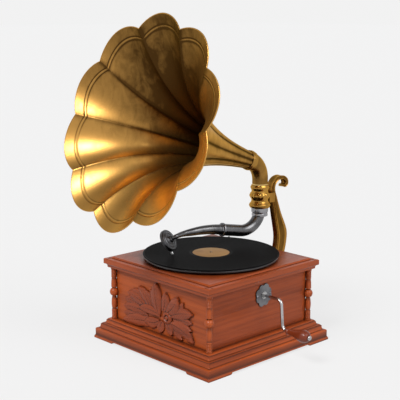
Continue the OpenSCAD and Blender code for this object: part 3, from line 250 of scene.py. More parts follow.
def square_ring(half, height, lift, stops, corner=1.2):
    """A moulding carried round a square: the profile (half width, height) at points of the ring. Each
    corner is a small arc of the radius corner; stops are places along a side, and lift(place) raises the
    profile's lowest points there. The corners stand on the feet, so nothing is raised at them."""
    on_foot = 1e3
    ring = []
    for k in range(4):
        r = np.linalg.matrix_power(np.array([[0, -1], [1, 0]]), k)
        for place in stops:
            ring.append(np.concatenate([r @ (1, 0), r @ (corner, place), [place]]))
        for q in np.radians(np.linspace(0, 90, 6)):
            arc = (corner * math.cos(q), corner * math.sin(q))
            ring.append(np.concatenate([r @ (1, 1), r @ arc, [on_foot]]))
    ring = np.array(ring)
    h = (np.asarray(half) - corner)[None, :]
    z = np.maximum(np.asarray(height)[None, :], lift(ring[:, 4])[:, None])
    return np.stack([ring[:, 0:1] * h + ring[:, 2:3], ring[:, 1:2] * h + ring[:, 3:4], z], -1)


def arc_step(a, b, hollow):
    """Quarter round between the profile points a and b: a cove if hollow, a bead otherwise."""
    q = np.radians(np.linspace(0, 90, 9))
    if hollow:
        r, z = b[0] + (a[0] - b[0]) * (1 - np.sin(q)), a[1] + (b[1] - a[1]) * (1 - np.cos(q))
    else:
        r, z = a[0] + (b[0] - a[0]) * (1 - np.cos(q)), a[1] + (b[1] - a[1]) * np.sin(q)
    return np.stack([r, z], 1)


wall_face, plinth_top, plinth_face = 148.0, 45.5, 185.5
board_top, rebate = 12.5, 151.0
steps = [183.1, 180.5, 173.2, 163.9]
rises = [4.55, 20.93, 23.66, 32.76, 35.49]
outline = np.concatenate([
    [[plinth_face - 0.6, 0], [plinth_face, 0.6], [plinth_face, rises[0] - 0.5],
        [plinth_face - 0.4, rises[0]], [steps[0] + 0.5, rises[0] + 2.6], [steps[0], rises[0] + 3.2]],
    arc_step((steps[0], rises[1]), (steps[1] - 3, rises[2]), False),
    arc_step((steps[1] - 3.1, rises[2]), (steps[2] + 1.5, rises[3]), True),
    arc_step((steps[2], rises[3] + 0.1), (steps[2] - 4, rises[4]), False),
    arc_step((steps[2] - 4.1, rises[4]), (steps[3] + 1.5, plinth_top - 3), True),
    arc_step((steps[3], plinth_top - 2.9), (steps[3] - 3, plinth_top), False),
    [[wall_face, plinth_top], [wall_face, board_top], [rebate, board_top], [rebate, 0]]])
foot_end, foot_clear = plinth_face - 62, 4.5
kerf = foot_end - foot_clear * np.sin(np.radians(90 * np.linspace(0, 1, 7)))


def foot_lift(place):
    """Height of the sawn edge: none under a foot, then a round that ends at the clear height."""
    u = np.clip((foot_end - np.abs(place)) / foot_clear, 0, 1)
    q = np.arcsin(u)
    rise = 0.5 * foot_clear * (1 - np.cos(q)) + 0.5 * foot_clear * q / (math.pi / 2)
    return np.where(np.abs(place) > foot_end, 0, rise)


# Painted shade in the nooks between the moulding's steps, where shade falls
nooks = np.array([(steps[0], rises[0] + 3.2), (steps[1] - 3, rises[2]), (steps[2], rises[3]),
    (steps[2] - 4, rises[4]), (steps[3], plinth_top - 3), (wall_face, plinth_top)])
near = np.hypot(outline[:, None, 0] - nooks[None, :, 0], outline[:, None, 1] - nooks[None, :, 1]).min(1)
base_ring = square_ring(outline[:, 0], outline[:, 1], foot_lift, np.concatenate([-kerf, kerf[::-1]]))
painted_nook_shade = np.broadcast_to(0.85 * np.exp(-(near / 1.6) ** 2), base_ring.shape[:2])
base_wood = mahogany("base_wood", "mitred", (0.49, 0.095, 0.018, 1), (0.21, 0.036, 0.007, 1), reach=0.010,
    mark="painted_valley_shade")
made("base_moulding", [quads(base_ring, round_v=True)], "cabinet", "plinth", base_wood, crease=40,
    marks={"painted_valley_shade": painted_nook_shade})


# Bottom board
# Plain pine board let into a rebate of the moulding; it carries the walls.
def dressed(name, finish):
    """A CAD shape that stays, with its finish."""
    node[name].data.materials.clear()
    node[name].data.materials.append(finish)


dressed("bottom_board", mahogany("raw_pine", "x", (0.55, 0.36, 0.18, 1), (0.36, 0.2, 0.09, 1), 0.0))


# Walls
# Four mahogany boards, butted and glued, the grain lying along each wall.
dressed("front_panel", mahogany("front_wood", "x", (0.455, 0.088, 0.014, 1), (0.19, 0.032, 0.006, 1)))
dressed("back_panel", mahogany("back_wood", "x"))
side_wood = mahogany("side_wood", "y", (0.45, 0.083, 0.016, 1), (0.18, 0.030, 0.006, 1))
dressed("left_panel", side_wood)
dressed("right_panel", side_wood)


# Corner columns
# Each turned from one square of mahogany on a lathe: beads at both ends, long vase tapers and a ball at
# mid height.
def lathe(profile, sides, lobes=None):
    """A profile (radius, height) turned about z: p[u, v] = (r cos a, r sin a, h). lobes(angle, profile)
    scales the radius."""
    profile = np.asarray(profile, float)
    a = np.linspace(0, 2 * math.pi, sides, endpoint=False)[:, None]
    r = profile[None, :, 0] * (lobes(a, profile) if lobes else 1.0) * np.ones_like(a)
    return np.stack([r * np.cos(a), r * np.sin(a), np.broadcast_to(profile[None, :, 1], r.shape)], -1)


def about(p, degrees=(0, 0, 0), to=(0, 0, 0)):
    """Points turned about x, then y, then z, and moved."""
    m = np.eye(3)
    for k, d in enumerate(degrees):
        c, s = math.cos(math.radians(d)), math.sin(math.radians(d))
        i, j = (k + 1) % 3, (k + 2) % 3
        r = np.eye(3)
        r[i, i] = r[j, j] = c
        r[i, j], r[j, i] = -s, s
        m = r @ m
    return p @ m.T + np.asarray(to, float)


def rounded(corners, radius, n):
    """A profile with its corners cut to small arcs: each corner becomes n + 1 points of a quadratic
    curve."""
    p = np.asarray(corners, float)
    out = [p[:1]]
    u = np.linspace(0, 1, n + 1)[:, None]
    for a, b, c in zip(p[:-2], p[1:-1], p[2:]):
        la, lc = np.linalg.norm(a - b), np.linalg.norm(c - b)
        s, e = b + (a - b) * min(0.45, radius / la), b + (c - b) * min(0.45, radius / lc)
        out.append((1 - u) ** 2 * s + 2 * u * (1 - u) * b + u * u * e)
    return np.concatenate(out + [p[-1:]])


def turned_line(radius, out, z, height, n):
    """n points of a swelling on a turned profile, or of a hollow if out is negative, as u goes from 0 to
    1: (radius + out sin(pi u), z + height u)."""
    u = np.linspace(0, 1, n)
    return np.stack([radius + out * np.sin(math.pi * u), z + height * u], 1)


tall, ball, column_at = 118.0, 10.5, 152.0
mid = tall * 0.52
w = np.linspace(0, 1, 73)
beads = 0.9 * np.abs(np.sin(6 * math.pi * w)) ** 0.6
foot = np.concatenate([[[0, 0], [6.6, 0], [6.9, 0.3], [6.9, 2.4], [6.6, 2.8]],
    np.stack([5.3 + beads, 3 + 19 * w], 1),
    turned_line(5.0, 1.5, 22.4, mid - 33.4, 17)])
q = np.radians(np.linspace(-62, 66, 25))
globe = np.stack([ball * np.cos(q) - 0.6, mid + ball * np.sin(q)], 1)
u = np.linspace(0, 1, 17)
vase = 5.2 + 1.3 * np.sin(math.pi * (0.35 + 0.65 * u))
head = np.concatenate([np.stack([vase, mid + 11 + (tall - mid - 35) * u], 1),
    np.stack([5.2 + beads, tall - 23.6 + 18 * w], 1),
    [[6.4, tall - 5.2], [6.7, tall - 4.8], [6.7, tall], [0, tall]]])
column_line = np.concatenate([foot, globe, head])
column = lathe(column_line, 56)
# Painted shade: the column is darker where its radius is under 6 mm, between the beads and along the slim
# tapers
painted_ring_shade = np.clip((6.0 - column_line[:, 0]) / 0.7, 0, 1) * 0.5
columns = [quads(about(column, to=(x * column_at, y * column_at, plinth_top)))
    for x in (-1, 1) for y in (-1, 1)]
turned_wood = mahogany("turned_wood", "z", (0.50, 0.100, 0.019, 1), (0.24, 0.042, 0.008, 1), 0.15,
    mark="painted_valley_shade")
made("columns", columns, "cabinet", "corner_columns", turned_wood,
    marks={"painted_valley_shade": np.tile(np.broadcast_to(painted_ring_shade, column.shape[:2]), (4, 1))})


# Cove moulding and motor board
# A small cove under the overhang, and the board that carries the motor: a solid edge with a low raised
# field, bored for the spindle and the lever pins.
def eased(name, source, body, finish, edge):
    """The shape of a CAD node with its arrises rounded by edge millimetres, as sandpaper leaves them."""
    mesh = node[source].data.copy()
    mesh.name = name
    if "custom_normal" in mesh.attributes:
        mesh.attributes.remove(mesh.attributes["custom_normal"])
    b = bmesh.new()
    b.from_mesh(mesh)
    bmesh.ops.remove_doubles(b, verts=b.verts, dist=3e-6)
    bmesh.ops.dissolve_limit(b, angle_limit=math.radians(0.4), verts=b.verts, edges=b.edges)
    b.to_mesh(mesh)
    b.free()
    mesh.materials.clear()
    mesh.materials.append(finish)
    mesh.polygons.foreach_set("use_smooth", np.ones(len(mesh.polygons), bool))
    piece = added(name, mesh)
    m = piece.modifiers.new("eased edges", "BEVEL")
    m.width = edge * 0.001
    m.segments = 3
    m.limit_method = "ANGLE"
    m.angle_limit = math.radians(30)
    m.harden_normals = True
    stand_for(piece, body, source)


top_wood = mahogany("board_wood", "mitred", (0.42, 0.078, 0.015, 1), (0.17, 0.028, 0.006, 1), 0.12, 0.008)
eased("cove", "cove_moulding", "cabinet", top_wood, 0.4)
eased("top_board", "motor_board", "cabinet", top_wood, 1.0)


# Front carving
# Acanthus spray and a small flower cut in one thin piece of mahogany and glued to the front wall. Each
# leaf is a dome over a bowed centre line, with a centre vein and lobed edges; where leaves meet, the
# higher one covers.
sunk = -1.2


def leaf(x, z, p, q, width, bow, raised, tip, lobes):
    """Height of one leaf over the wall at x, z. Its centre line runs from p to q, bowed sideways by bow;
    it rises from its edge in 1.1 mm, domes to raised and falls to its vein. tip is how blunt its end is
    and lobes how deep its edge is cut, both from 0 to 1. Beside the leaf it is sunk in the wall."""
    d = np.subtract(q, p)
    length = math.hypot(*d)
    ux, uz = d / length
    a = (x - p[0]) * ux + (z - p[1]) * uz
    t = np.clip(a / length, 0, 1)
    off = -(x - p[0]) * uz + (z - p[1]) * ux - bow * 4 * t * (1 - t)
    late = np.clip((t - 0.55) / 0.45, 0, 1)
    widening = 0.42 + 0.58 * np.sin(math.pi / 2 * np.clip(t / 0.55, 0, 1))
    narrowing = np.maximum(tip, (1 - late ** 2.1) ** 0.85)
    half = width / 2 * np.where(t < 0.55, widening, narrowing)
    half = half * (1 - lobes * np.abs(np.sin(math.pi * (3.5 * t + 0.2))) ** 3)
    inside = np.minimum(half - np.abs(off), np.minimum(a + 0.5, length - a + 0.6))
    edge = np.clip(inside / 1.1, 0, 1)
    edge = edge * edge * (3 - 2 * edge)
    e = np.clip(1 - np.abs(off) / np.maximum(half, 0.1), 0, 1)
    dome = 0.5 + 0.5 * np.sqrt(e * (2 - e))
    top = raised * (0.62 + 0.38 * t) * dome
    top = top - 0.9 * np.exp(-(off / 0.9) ** 2) * np.clip(1.15 - t, 0, 1)
    veins = 0.25 * np.sin((a * 0.9 + np.abs(off) * 1.3) * 0.9)
    top = top + veins * np.clip(e * 3, 0, 1) * np.clip(e * 4 - 0.6, 0, 1) * 0.6
    return sunk + (np.maximum(top, 0.6) - sunk) * edge


grid_x = np.linspace(-127, 108, 360)
grid_z = np.linspace(40, 159, 182)
cx, cz = np.meshgrid(grid_x, grid_z, indexing="ij")
# Start, end, width, bow, height, bluntness and lobes of each leaf: the fan on the left from the top
# down, three leaves over it, then the others from the top round to the bottom
sprays = [
    ((-24, 92), (-42, 134), 23, -4, 4.4, 0, 0.14),
    ((-30, 94), (-68, 138), 25, -6, 5.2, 0, 0.14),
    ((-36, 94), (-90, 127), 25, -6, 4.2, 0, 0.14),
    ((-40, 92), (-106, 117), 25, -6, 5.2, 0, 0.14),
    ((-44, 88), (-117, 100), 23, -5, 3.9, 0, 0.14),
    ((-44, 84), (-120, 83), 23, -3, 5.0, 0, 0.14),
    ((-40, 78), (-121, 67), 22, 2, 3.8, 0, 0.14),
    ((2, 88), (-66, 91), 22, -4, 6.2, 0.25, 0.0),
    ((-2, 74), (-46, 66), 26, 4, 6.0, 0.3, 0.0),
    ((-14, 66), (-123, 50), 30, -3, 5.2, 0.15, 0.1),
    ((-12, 92), (-30, 139), 22, -4, 4.0, 0, 0.0),
    ((-4, 90), (-11, 156), 34, 3, 6.0, 0, 0.0),
    ((10, 98), (20, 142), 27, -3, 4.4, 0, 0.0),
    ((24, 98), (59, 138), 31, -4, 5.8, 0.3, 0.0),
    ((42, 98), (74, 132), 19, -3, 3.6, 0, 0.0),
    ((34, 94), (103, 112), 27, 4, 5.2, 0.2, 0.1),
    ((42, 88), (101, 92), 19, 2, 3.6, 0.1, 0.1),
    ((38, 80), (100, 76), 20, 2, 4.8, 0.1, 0.1),
    ((34, 76), (106, 52), 28, 8, 5.8, 0, 0.1),
    ((30, 72), (70, 50), 24, 3, 4.2, 0.3, 0.0),
    ((20, 76), (40, 54), 26, 2, 5.6, 0.4, 0.0),
    ((8, 76), (2, 50), 25, -3, 4.4, 0.3, 0.0)]
leaves = [leaf(cx, cz, *spray) for spray in sprays]
flower_x, flower_z, flower_r, bud_r = 24.0, 87.0, 14.5, 4.6
far = np.hypot(cx - flower_x, cz - flower_z)
turn = np.arctan2(cz - flower_z, cx - flower_x)
lobed = 0.80 + 0.20 * np.abs(np.cos(2.5 * (turn - math.radians(18))))
cup = 6.2 * lobed * np.sqrt(np.clip(1 - (far / flower_r) ** 4, 0, 1))
cup = np.where(far < flower_r, cup - 2.2 * np.exp(-((far - 5.6) / 1.2) ** 2), sunk)
bud = np.where(far < bud_r, bud_r + 2.0 * np.sqrt(np.clip(1 - (far / bud_r) ** 2, 0, 1)), sunk)
cut = np.max(leaves + [cup, bud], axis=0)
cut = np.where(cut > 0, cut * 1.2, cut)
soft = cut
for _ in range(22):
    beside = np.roll(soft, 1, 0) + np.roll(soft, -1, 0) + np.roll(soft, 1, 1) + np.roll(soft, -1, 1)
    soft = (soft + beside) / 5
# Painted shade: the carving is darker where it lies below its smoothed relief, in the outlines round each
# leaf and the flower
painted_valley_shade = np.clip((soft - cut) / 0.6, 0, 1) * 0.95
front = np.stack([cx, -wall_face - cut, cz], -1)
rear = np.stack([cx[:, [-1, 0]], np.full((len(grid_x), 2), -wall_face + 4.0), cz[:, [-1, 0]]], -1)
across_z = len(grid_z) + 2
points, cells, _ = quads(np.concatenate([front, rear], 1), round_u=False, round_v=True)
ends = [list(range(across_z)), list(range((len(grid_x) - 1) * across_z, len(grid_x) * across_z))]
carved_wood = mahogany("carved_wood", "x", (0.33, 0.059, 0.013, 1), (0.15, 0.025, 0.006, 1), 0.16, 0.005,
    mark="painted_valley_shade")
made("carved_spray", [(points, cells, ends)], "cabinet", "front_carving", carved_wood, crease=60,
    marks={"painted_valley_shade": np.concatenate([painted_valley_shade, np.zeros((len(grid_x), 2))], 1)})


# Crank plate, bush and screws
# A scalloped plate of cast grey steel, held by two screws, with the turned bush in which the winding
# shaft runs. The four screws of the bracket's foot are of the same kind.
wear, given, result = effect("rubbed plate", [
    ("Colour", "Color", (0.5, 0.5, 0.5, 1)),
    ("Dull", "Color", (0.3, 0.3, 0.3, 1)),
    ("Smooth", "Float", 0.3),
    ("Hollow", "Float", 0.0)], surface)
place = object_place(wear)
smear = noise(wear, place, 38.0, 4, 0.6)
grit = noise(wear, place, 900.0, 2, 0.6)
scratch = band(wear, noise(wear, place, 260.0, 3, 0.8, (1, 0.08, 1.0), 1.2), 0.6, 0.75)
# Hollow adds tarnish and painted shade in the corners to the dull cover
cover = scaled(wear, band(wear, smear, 0.42, 0.68), 0.55, given["Hollow"], clamp=True)
feed(wear, result, Color=blend_of(wear, cover, given["Colour"], given["Dull"]),
    Rough=scaled(wear, smear, 0.16, scaled(wear, scratch, 0.1, given["Smooth"])),
    Height=scaled(wear, grit, 0.6, scaled(wear, scratch, -0.4)))


def plated(name, colour, dull, smooth, depth=0.00003, reach=0.003, metal=1.0, coat=0.0):
    """Plated or bare metal: rubbed bright where it is touched, dull in its corners with tarnish and
    painted shade.
    """
    m, t, s = finish_of(name, metal=metal, coat=coat)
    # Tarnish and painted shade in the corners, from ambient occlusion
    hollow = use(t, corners, Reach=reach, Amount=0.8)["Hollow"]
    f = use(t, wear, Colour=(*colour, 1), Dull=(*dull, 1), Smooth=smooth, Hollow=hollow)
    set_look(t, s, f["Color"], f["Rough"], f["Height"], depth)
    return m


grey_steel = plated("grey_steel", (0.20, 0.20, 0.21), (0.055, 0.055, 0.06), 0.30, 0.00015, 0.006)
blued_steel = plated("blued_steel", (0.22, 0.22, 0.24), (0.09, 0.09, 0.10), 0.30)
turned_steel = plated("turned_steel", (0.50, 0.50, 0.50), (0.25, 0.25, 0.25), 0.24)
eased("crank_plate", "crank_escutcheon", "cabinet", grey_steel, 0.8)
eased("screws", "wood_screws", "cabinet", blued_steel, 0.15)
eased("bush", "crank_bush", "cabinet", turned_steel, 0.3)


# Horn bracket
# One brass casting: a fluted S arm with a scroll at its tip, a saddle that takes the socket, and a foot
# plate screwed to the back wall.
tarnish, given, result = effect("aged brass", [
    ("Bright", "Color", (0.66, 0.42, 0.15, 1)),
    ("Aged", "Color", (0.20, 0.11, 0.035, 1)),
    ("Amount", "Float", 0.0),
    ("Smooth", "Float", 0.3),
    ("Spots", "Float", 1.0)], surface)
place = object_place(tarnish)
clouds = noise(tarnish, place, 14.0, 5, 0.62, warp=0.5)
smears = noise(tarnish, place, 55.0, 4, 0.6, (1.0, 1.0, 0.5), 0.8)
specks = band(tarnish, noise(tarnish, place, 330.0, 2, 0.5), 0.66, 0.76)
amount = scaled(tarnish, maths(tarnish, "SUBTRACT", clouds, 0.47), 0.85, given["Amount"])
amount = scaled(tarnish, maths(tarnish, "SUBTRACT", smears, 0.5), 0.7, amount)
amount = scaled(tarnish, maths(tarnish, "MULTIPLY", specks, given["Spots"]), 0.22, amount, clamp=True)
feed(tarnish, result, Color=blend_of(tarnish, amount, given["Bright"], given["Aged"]),
    Rough=scaled(tarnish, amount, 0.18, scaled(tarnish, smears, 0.08, given["Smooth"])),
    Height=scaled(tarnish, smears, 0.6, scaled(tarnish, specks, -0.4)))


def brass(name, bright, aged, smooth, base=0.0, mark=None, depth=0.00006, reach=0.004, spots=1.0):
    """Old brass: bright where it is rubbed, aged where it is left, with patina and painted shade in its
    corners. mark names the piece's own map that adds to the aged share: patina, and painted shade on the
    horn and the elbow."""
    m, t, s = finish_of(name, metal=1.0)
    s.inputs["Specular Tint"].default_value = (1.0, 0.80, 0.50, 1)
    # Patina and painted shade in the corners, from ambient occlusion
    amount = maths(t, "ADD", use(t, corners, Reach=reach, Amount=0.7)["Hollow"], base)
    if mark:
        amount = maths(t, "ADD", amount, put(t, "Attribute", {"attribute_name": mark}).outputs["Fac"])
    f = use(t, tarnish, Bright=(*bright, 1), Aged=(*aged, 1), Amount=amount, Smooth=smooth, Spots=spots)
    set_look(t, s, f["Color"], f["Rough"], f["Height"], depth)
    return m


def through(points, steps):
    """Catmull-Rom curve through the rows of points, steps samples a span."""
    p = np.asarray(points, float)
    n = len(p)
    u = np.linspace(0, n - 1, (n - 1) * steps + 1)
    i = np.minimum(u.astype(int), n - 2)
    t = (u - i)[:, None]
    a, b, c, d = p[np.maximum(i - 1, 0)], p[i], p[i + 1], p[np.minimum(i + 2, n - 1)]
    bends = t * t * (2 * a - 5 * b + 4 * c - d) + t ** 3 * (3 * b - 3 * c + d - a)
    return 0.5 * (2 * b + t * (c - a) + bends)


def box_shell(low, high):
    """Closed box between two corners."""
    x0, y0, z0 = low
    x1, y1, z1 = high
    ring = np.array([[x0, y0], [x1, y0], [x1, y1], [x0, y1]])
    return quads(np.stack([np.column_stack([ring, np.full(4, z)]) for z in (z0, z1)], 1), cap=True)


# y, z and depth of the arm along its centre line, from the foot plate to the scroll
arm_line = through([[152, 114, 30], [168, 116, 26], [192, 126, 25], [211, 144, 26], [221, 166, 26],
    [226, 190, 27], [226, 208, 28], [220, 228, 24], [212, 250, 18], [204.5, 274, 13.5],
    [198, 294, 12], [192.5, 312, 10.5], [194.5, 326, 9.5], [203, 335.5, 9], [215, 340, 8.5],
    [228, 339, 8], [238, 332, 7.4], [239.5, 323, 6.8], [233, 318.5, 6.2], [227.5, 321.5, 5.4]], 8)
flow = np.gradient(arm_line[:, :2], axis=0)
flow /= np.linalg.norm(flow, axis=1)[:, None]
across = np.stack([-flow[:, 1], flow[:, 0]], 1)
# The arm's section, 1 wide and 1 deep: two flutes behind, a hollow in each flank, a shallow one in front
flute = np.array([[-0.5, -0.5], [-0.42, -0.47], [-0.32, -0.40], [-0.14, -0.40], [-0.05, -0.47],
    [0, -0.5], [0.05, -0.47], [0.14, -0.40], [0.32, -0.40], [0.42, -0.47], [0.5, -0.5],
    [0.49, -0.40], [0.42, -0.26], [0.40, -0.05], [0.42, 0.22], [0.48, 0.42], [0.5, 0.5],
    [0.36, 0.49], [0.2, 0.45], [0, 0.44], [-0.2, 0.45], [-0.36, 0.49], [-0.5, 0.5],
    [-0.48, 0.42], [-0.42, 0.22], [-0.40, -0.05], [-0.42, -0.26], [-0.49, -0.40]])
flute = through(np.vstack([flute, flute[:1]]), 3)[:-1]
broad = 18 - 1.5 * np.clip((np.arange(len(arm_line)) - 96) / 56, 0, 1)
rearmost = 243.2
side = flute[:, None, 0] * broad[None, :]
deep = flute[:, None, 1] * arm_line[None, :, 2]
casting = np.stack([side, np.minimum(arm_line[None, :, 0] + deep * across[None, :, 0], rearmost),
    arm_line[None, :, 1] + deep * across[None, :, 1]], -1)


def half_round(start, z):
    """Half a circle of radius 18 about x 0 and the height z, from start degrees on: rows of (x, z)."""
    q = np.radians(np.linspace(start, start + 180, 25))
    return np.stack([18 * np.cos(q), z + 18 * np.sin(q)], 1)


pad = np.concatenate([[[27, 88], [27, 142]], half_round(0, 142), [[-27, 142], [-27, 88]],
    half_round(180, 88)])
pad_middle = 115
levels = [(0.0, wall_face), (0.0, wall_face + 5.2), (0.25, wall_face + 5.8), (0.9, wall_face + 6)]
plate = np.stack([np.column_stack([pad[:, 0] - np.sign(pad[:, 0]) * inset, np.full(len(pad), y),
    pad[:, 1] - np.sign(pad[:, 1] - pad_middle) * inset]) for inset, y in levels], 1)
saddle = box_shell((-9, 178.6, 286), (9, 197, 308))
in_flute = np.clip((0.49 - np.abs(flute[:, 1])) / 0.07, 0, 1) * (np.abs(flute[:, 0]) < 0.44)
groove = np.broadcast_to((0.75 * in_flute - 0.2)[:, None], casting.shape[:2])
elsewhere = np.zeros(len(pad) * len(levels) + len(saddle[0]))
cast_brass = brass("cast_brass", (0.38, 0.19, 0.040), (0.050, 0.022, 0.005), 0.22, 0.12, "flute",
    depth=0.0001)
made("bracket", [quads(casting, cap=True), quads(plate, cap=True), saddle], "cabinet", "horn_bracket",
    cast_brass, crease=50, marks={"flute": np.concatenate([groove.ravel(), elsewhere])})


# Horn socket
# Turned and chased brass: a foot bead, a ring of gadroons, a beaded neck and a plain lip, bored for the
# horn above and the arm below.
low, top, rim, swivel_y = 278.0, 330.0, 24.5, 155.0
outside = np.concatenate([[[rim - 1.9, low], [rim - 1.5, low + 0.4]],
    turned_line(rim - 1.5, 1.5, low + 1, 8.5, 13),
    [[rim - 3.2, low + 10.2], [rim - 3.6, low + 10.8]],
    turned_line(rim - 3.6, -1.6, low + 12, 9, 13),
    turned_line(rim - 3, 2.6, low + 22, 12, 13),
    turned_line(rim - 4.6, -0.8, low + 35, 6.4, 13),
    turned_line(rim - 4, 1.2, low + 43, 6.8, 13),
    [[rim - 4.7, top - 0.4], [rim - 5.0, top], [16.5, top], [16.5, low + 18], [11, low + 18],
        [11, low + 14], [13.5, low + 14], [13.5, low]]])


def chasing(a, profile):
    """Radius scale round the socket: 14 gadroons on the belly, 40 beads on the foot, 36 on the neck
    ring and 28 shallow dents in the waist."""
    r, z = profile[None, :, 0], profile[None, :, 1] - low
    out = np.clip((r - 17.5) / 2, 0, 1)
    belly = np.clip(1 - np.abs(z - 28) / 6.2, 0, 1) ** 0.6
    foot_ring = np.clip(1 - np.abs(z - 5.2) / 3.4, 0, 1) ** 0.6
    neck = np.clip(1 - np.abs(z - 46.4) / 2.8, 0, 1) ** 0.6
    waist = np.clip(1 - np.abs(z - 16.5) / 4.2, 0, 1)
    gadroons = 0.055 * belly * np.abs(np.sin(7 * a)) ** 3
    foot_beads = 0.024 * foot_ring * np.abs(np.sin(20 * a)) ** 2
    neck_beads = 0.026 * neck * np.abs(np.sin(18 * a)) ** 2
    dents = 0.012 * waist * (0.5 + 0.5 * np.cos(28 * a))
    return 1 - out * (gadroons + foot_beads + neck_beads + dents)


polished_brass = brass("polished_brass", (0.45, 0.24, 0.052), (0.060, 0.027, 0.006), 0.15, 0.12,
    reach=0.006, spots=0.4)
made("socket", [quads(about(lathe(outside, 288, chasing), to=(0, swivel_y, 0)), round_v=True)],
    "cabinet", "horn_socket", polished_brass, crease=50)


# Spring motor
# Hung under the board on four pillars: two steel plates, a brass spring barrel, wheels and pinions, and
# a three-ball governor that a friction pad holds to speed.
plate_steel = plated("motor_plate_steel", (0.46, 0.46, 0.47), (0.24, 0.24, 0.24), 0.34)
cut_brass = brass("cut_brass", (0.66, 0.46, 0.18), (0.34, 0.21, 0.07), 0.26, spots=0.3)
spring_steel = plated("spring_steel", (0.18, 0.20, 0.27), (0.10, 0.10, 0.12), 0.28)
lead_grey = plated("lead_grey", (0.20, 0.20, 0.20), (0.11, 0.11, 0.11), 0.55)
for name in ("motor_top_plate", "motor_bottom_plate", "governor_bearings"):
    dressed(name, plate_steel)
for name in ("motor_pillars", "winding_arbor", "ratchet_wheel", "click", "governor_shaft",
        "winding_shaft", "speed_lever", "brake_lever"):
    dressed(name, turned_steel)
for name in ("governor_drive_wheel", "spring_barrel", "bevel_wheel", "bevel_pinion", "intermediate_wheel",
        "governor_disc"):
    dressed(name, cut_brass)
for name in ("mainspring", "governor_springs"):
    dressed(name, spring_steel)
dressed("governor_weights", lead_grey)


# Lever pads
# Two pads of thick leather, glued to their levers: a round one that rubs the governor disc and a square
# one that stops the platter.
def leather(name, colour, dark):
    """Thick leather with a fine pebbled face."""
    m, t, s = finish_of(name, specular=0.3)
    place = object_place(t)
    pebble = put(t, "TexVoronoi", {"feature": "DISTANCE_TO_EDGE"}, Vector=place,
        Scale=1300.0).outputs["Distance"]
    tone = blend_of(t, band(t, noise(t, place, 300.0, 3), 0.35, 0.7), (*colour, 1), (*dark, 1))
    set_look(t, s, tone, scaled(t, noise(t, place, 200.0), 0.3, 0.5), pebble, 0.0002)
    return m


pad_leather = leather("pad_leather", (0.30, 0.17, 0.08), (0.16, 0.08, 0.035))
disc = rounded([[0, 0], [2.75, 0], [2.75, 3.15], [0, 3.15]], 0.7, 4)
made("friction_leather", [quads(about(lathe(disc, 40), (90, 0, 0), (-37.5, 55.1, 144.5)))], "speed_lever",
    "friction_pad", pad_leather, crease=50)
u = np.linspace(0, 2 * math.pi, 48, endpoint=False)
squircle = np.stack([np.sign(np.cos(u)) * np.abs(np.cos(u)) ** 0.35,
    np.sign(np.sin(u)) * np.abs(np.sin(u)) ** 0.35], 1)
bulge = [(0.80, 0), (0.93, 0.12), (0.99, 0.5), (1.0, 1.4), (1.0, 2.25), (1.0, 3.1), (0.99, 4.0),
    (0.93, 4.38), (0.80, 4.5)]
stop = np.stack([np.column_stack([squircle[:, 0] * 1.24 * size + 1.25, squircle[:, 1] * 2.95 * size,
    np.full(len(u), height)]) for size, height in bulge], 1)
made("brake_leather", [quads(about(stop + (148.3, 0, 189.8), (0, 0, 134.8)), cap=True)], "brake",
    "brake_pad", pad_leather, crease=50)


# Platter, mat and spindle
# A cast platter, black enamelled, drops on the tapered spindle; a disc of green felt is laid on it.
enamel = plated("black_enamel", (0.018, 0.018, 0.019), (0.010, 0.010, 0.010), 0.26, 0.00006, metal=0.0,
    coat=0.4)
eased("platter_casting", "platter", "turntable", enamel, 0.5)
dressed("spindle", plated("worn_bronze", (0.30, 0.21, 0.12), (0.16, 0.11, 0.06), 0.40))
m, t, s = finish_of("green_felt", specular=0.15)
hairs = noise(t, object_place(t), 900.0, 4, 0.8, warp=2.0)
green = blend_of(t, hairs, (0.025, 0.075, 0.04, 1), (0.06, 0.14, 0.08, 1))
s.inputs["Sheen Weight"].default_value = 0.4
set_look(t, s, green, scaled(t, hairs, 0.1, 0.88), hairs, 0.0004)
mat_z = 195.5
ring_r = np.concatenate([[4.25], np.linspace(4.6, 143.2, 60), [143.9]])
fuzz = 0.04 * np.sin(ring_r * 7.3) * np.sin(ring_r * 2.1)
felt = np.concatenate([np.stack([ring_r, np.full(len(ring_r), mat_z)], 1), [[144.0, mat_z + 0.4]],
    np.stack([ring_r[::-1], mat_z + 0.92 + fuzz[::-1]], 1)])
felt_piece = made("felt_disc", [quads(lathe(felt, 180), round_v=True)], "turntable", "felt_mat", m,
    crease=60)


# Record and label
# A twelve-inch disc pressed in black shellac compound, its grooves between a plain rim and a run-out,
# under a plain paper label.
def radius_of(tree, place):
    """Distance of a place from the spindle's axis, in metres."""
    flat = put(tree, "VectorMath", {"operation": "MULTIPLY"}, i0=place, i1=(1, 1, 0)).outputs[0]
    return put(tree, "VectorMath", {"operation": "LENGTH"}, i0=flat).outputs["Value"]


m, t, s = finish_of("shellac", specular=0.01)
place = object_place(t)
radius = radius_of(t, place)
ringed = put(t, "CombineXYZ", i0=radius).outputs[0]
bands = noise(t, ringed, 260.0, 4, 0.7)
passages = noise(t, ringed, 900.0, 3, 0.6)
grooved = maths(t, "MULTIPLY", band(t, radius, 0.0478, 0.0490), band(t, radius, 0.1460, 0.1450))
ridge = maths(t, "SINE", maths(t, "MULTIPLY", radius, 2 * math.pi / 0.0009))
dust = noise(t, place, 60.0, 4, 0.6)
dusty = scaled(t, band(t, dust, 0.45, 0.75), 0.25)
black = blend_of(t, dusty, (0.0100, 0.0100, 0.0105, 1), (0.022, 0.021, 0.020, 1))
rough = scaled(t, dust, 0.08, scaled(t, bands, 0.20, scaled(t, grooved, 0.12, 0.28)))
set_look(t, s, black, rough, maths(t, "MULTIPLY", grooved, scaled(t, ridge, 0.5, passages)), 0.00006, 0.7)
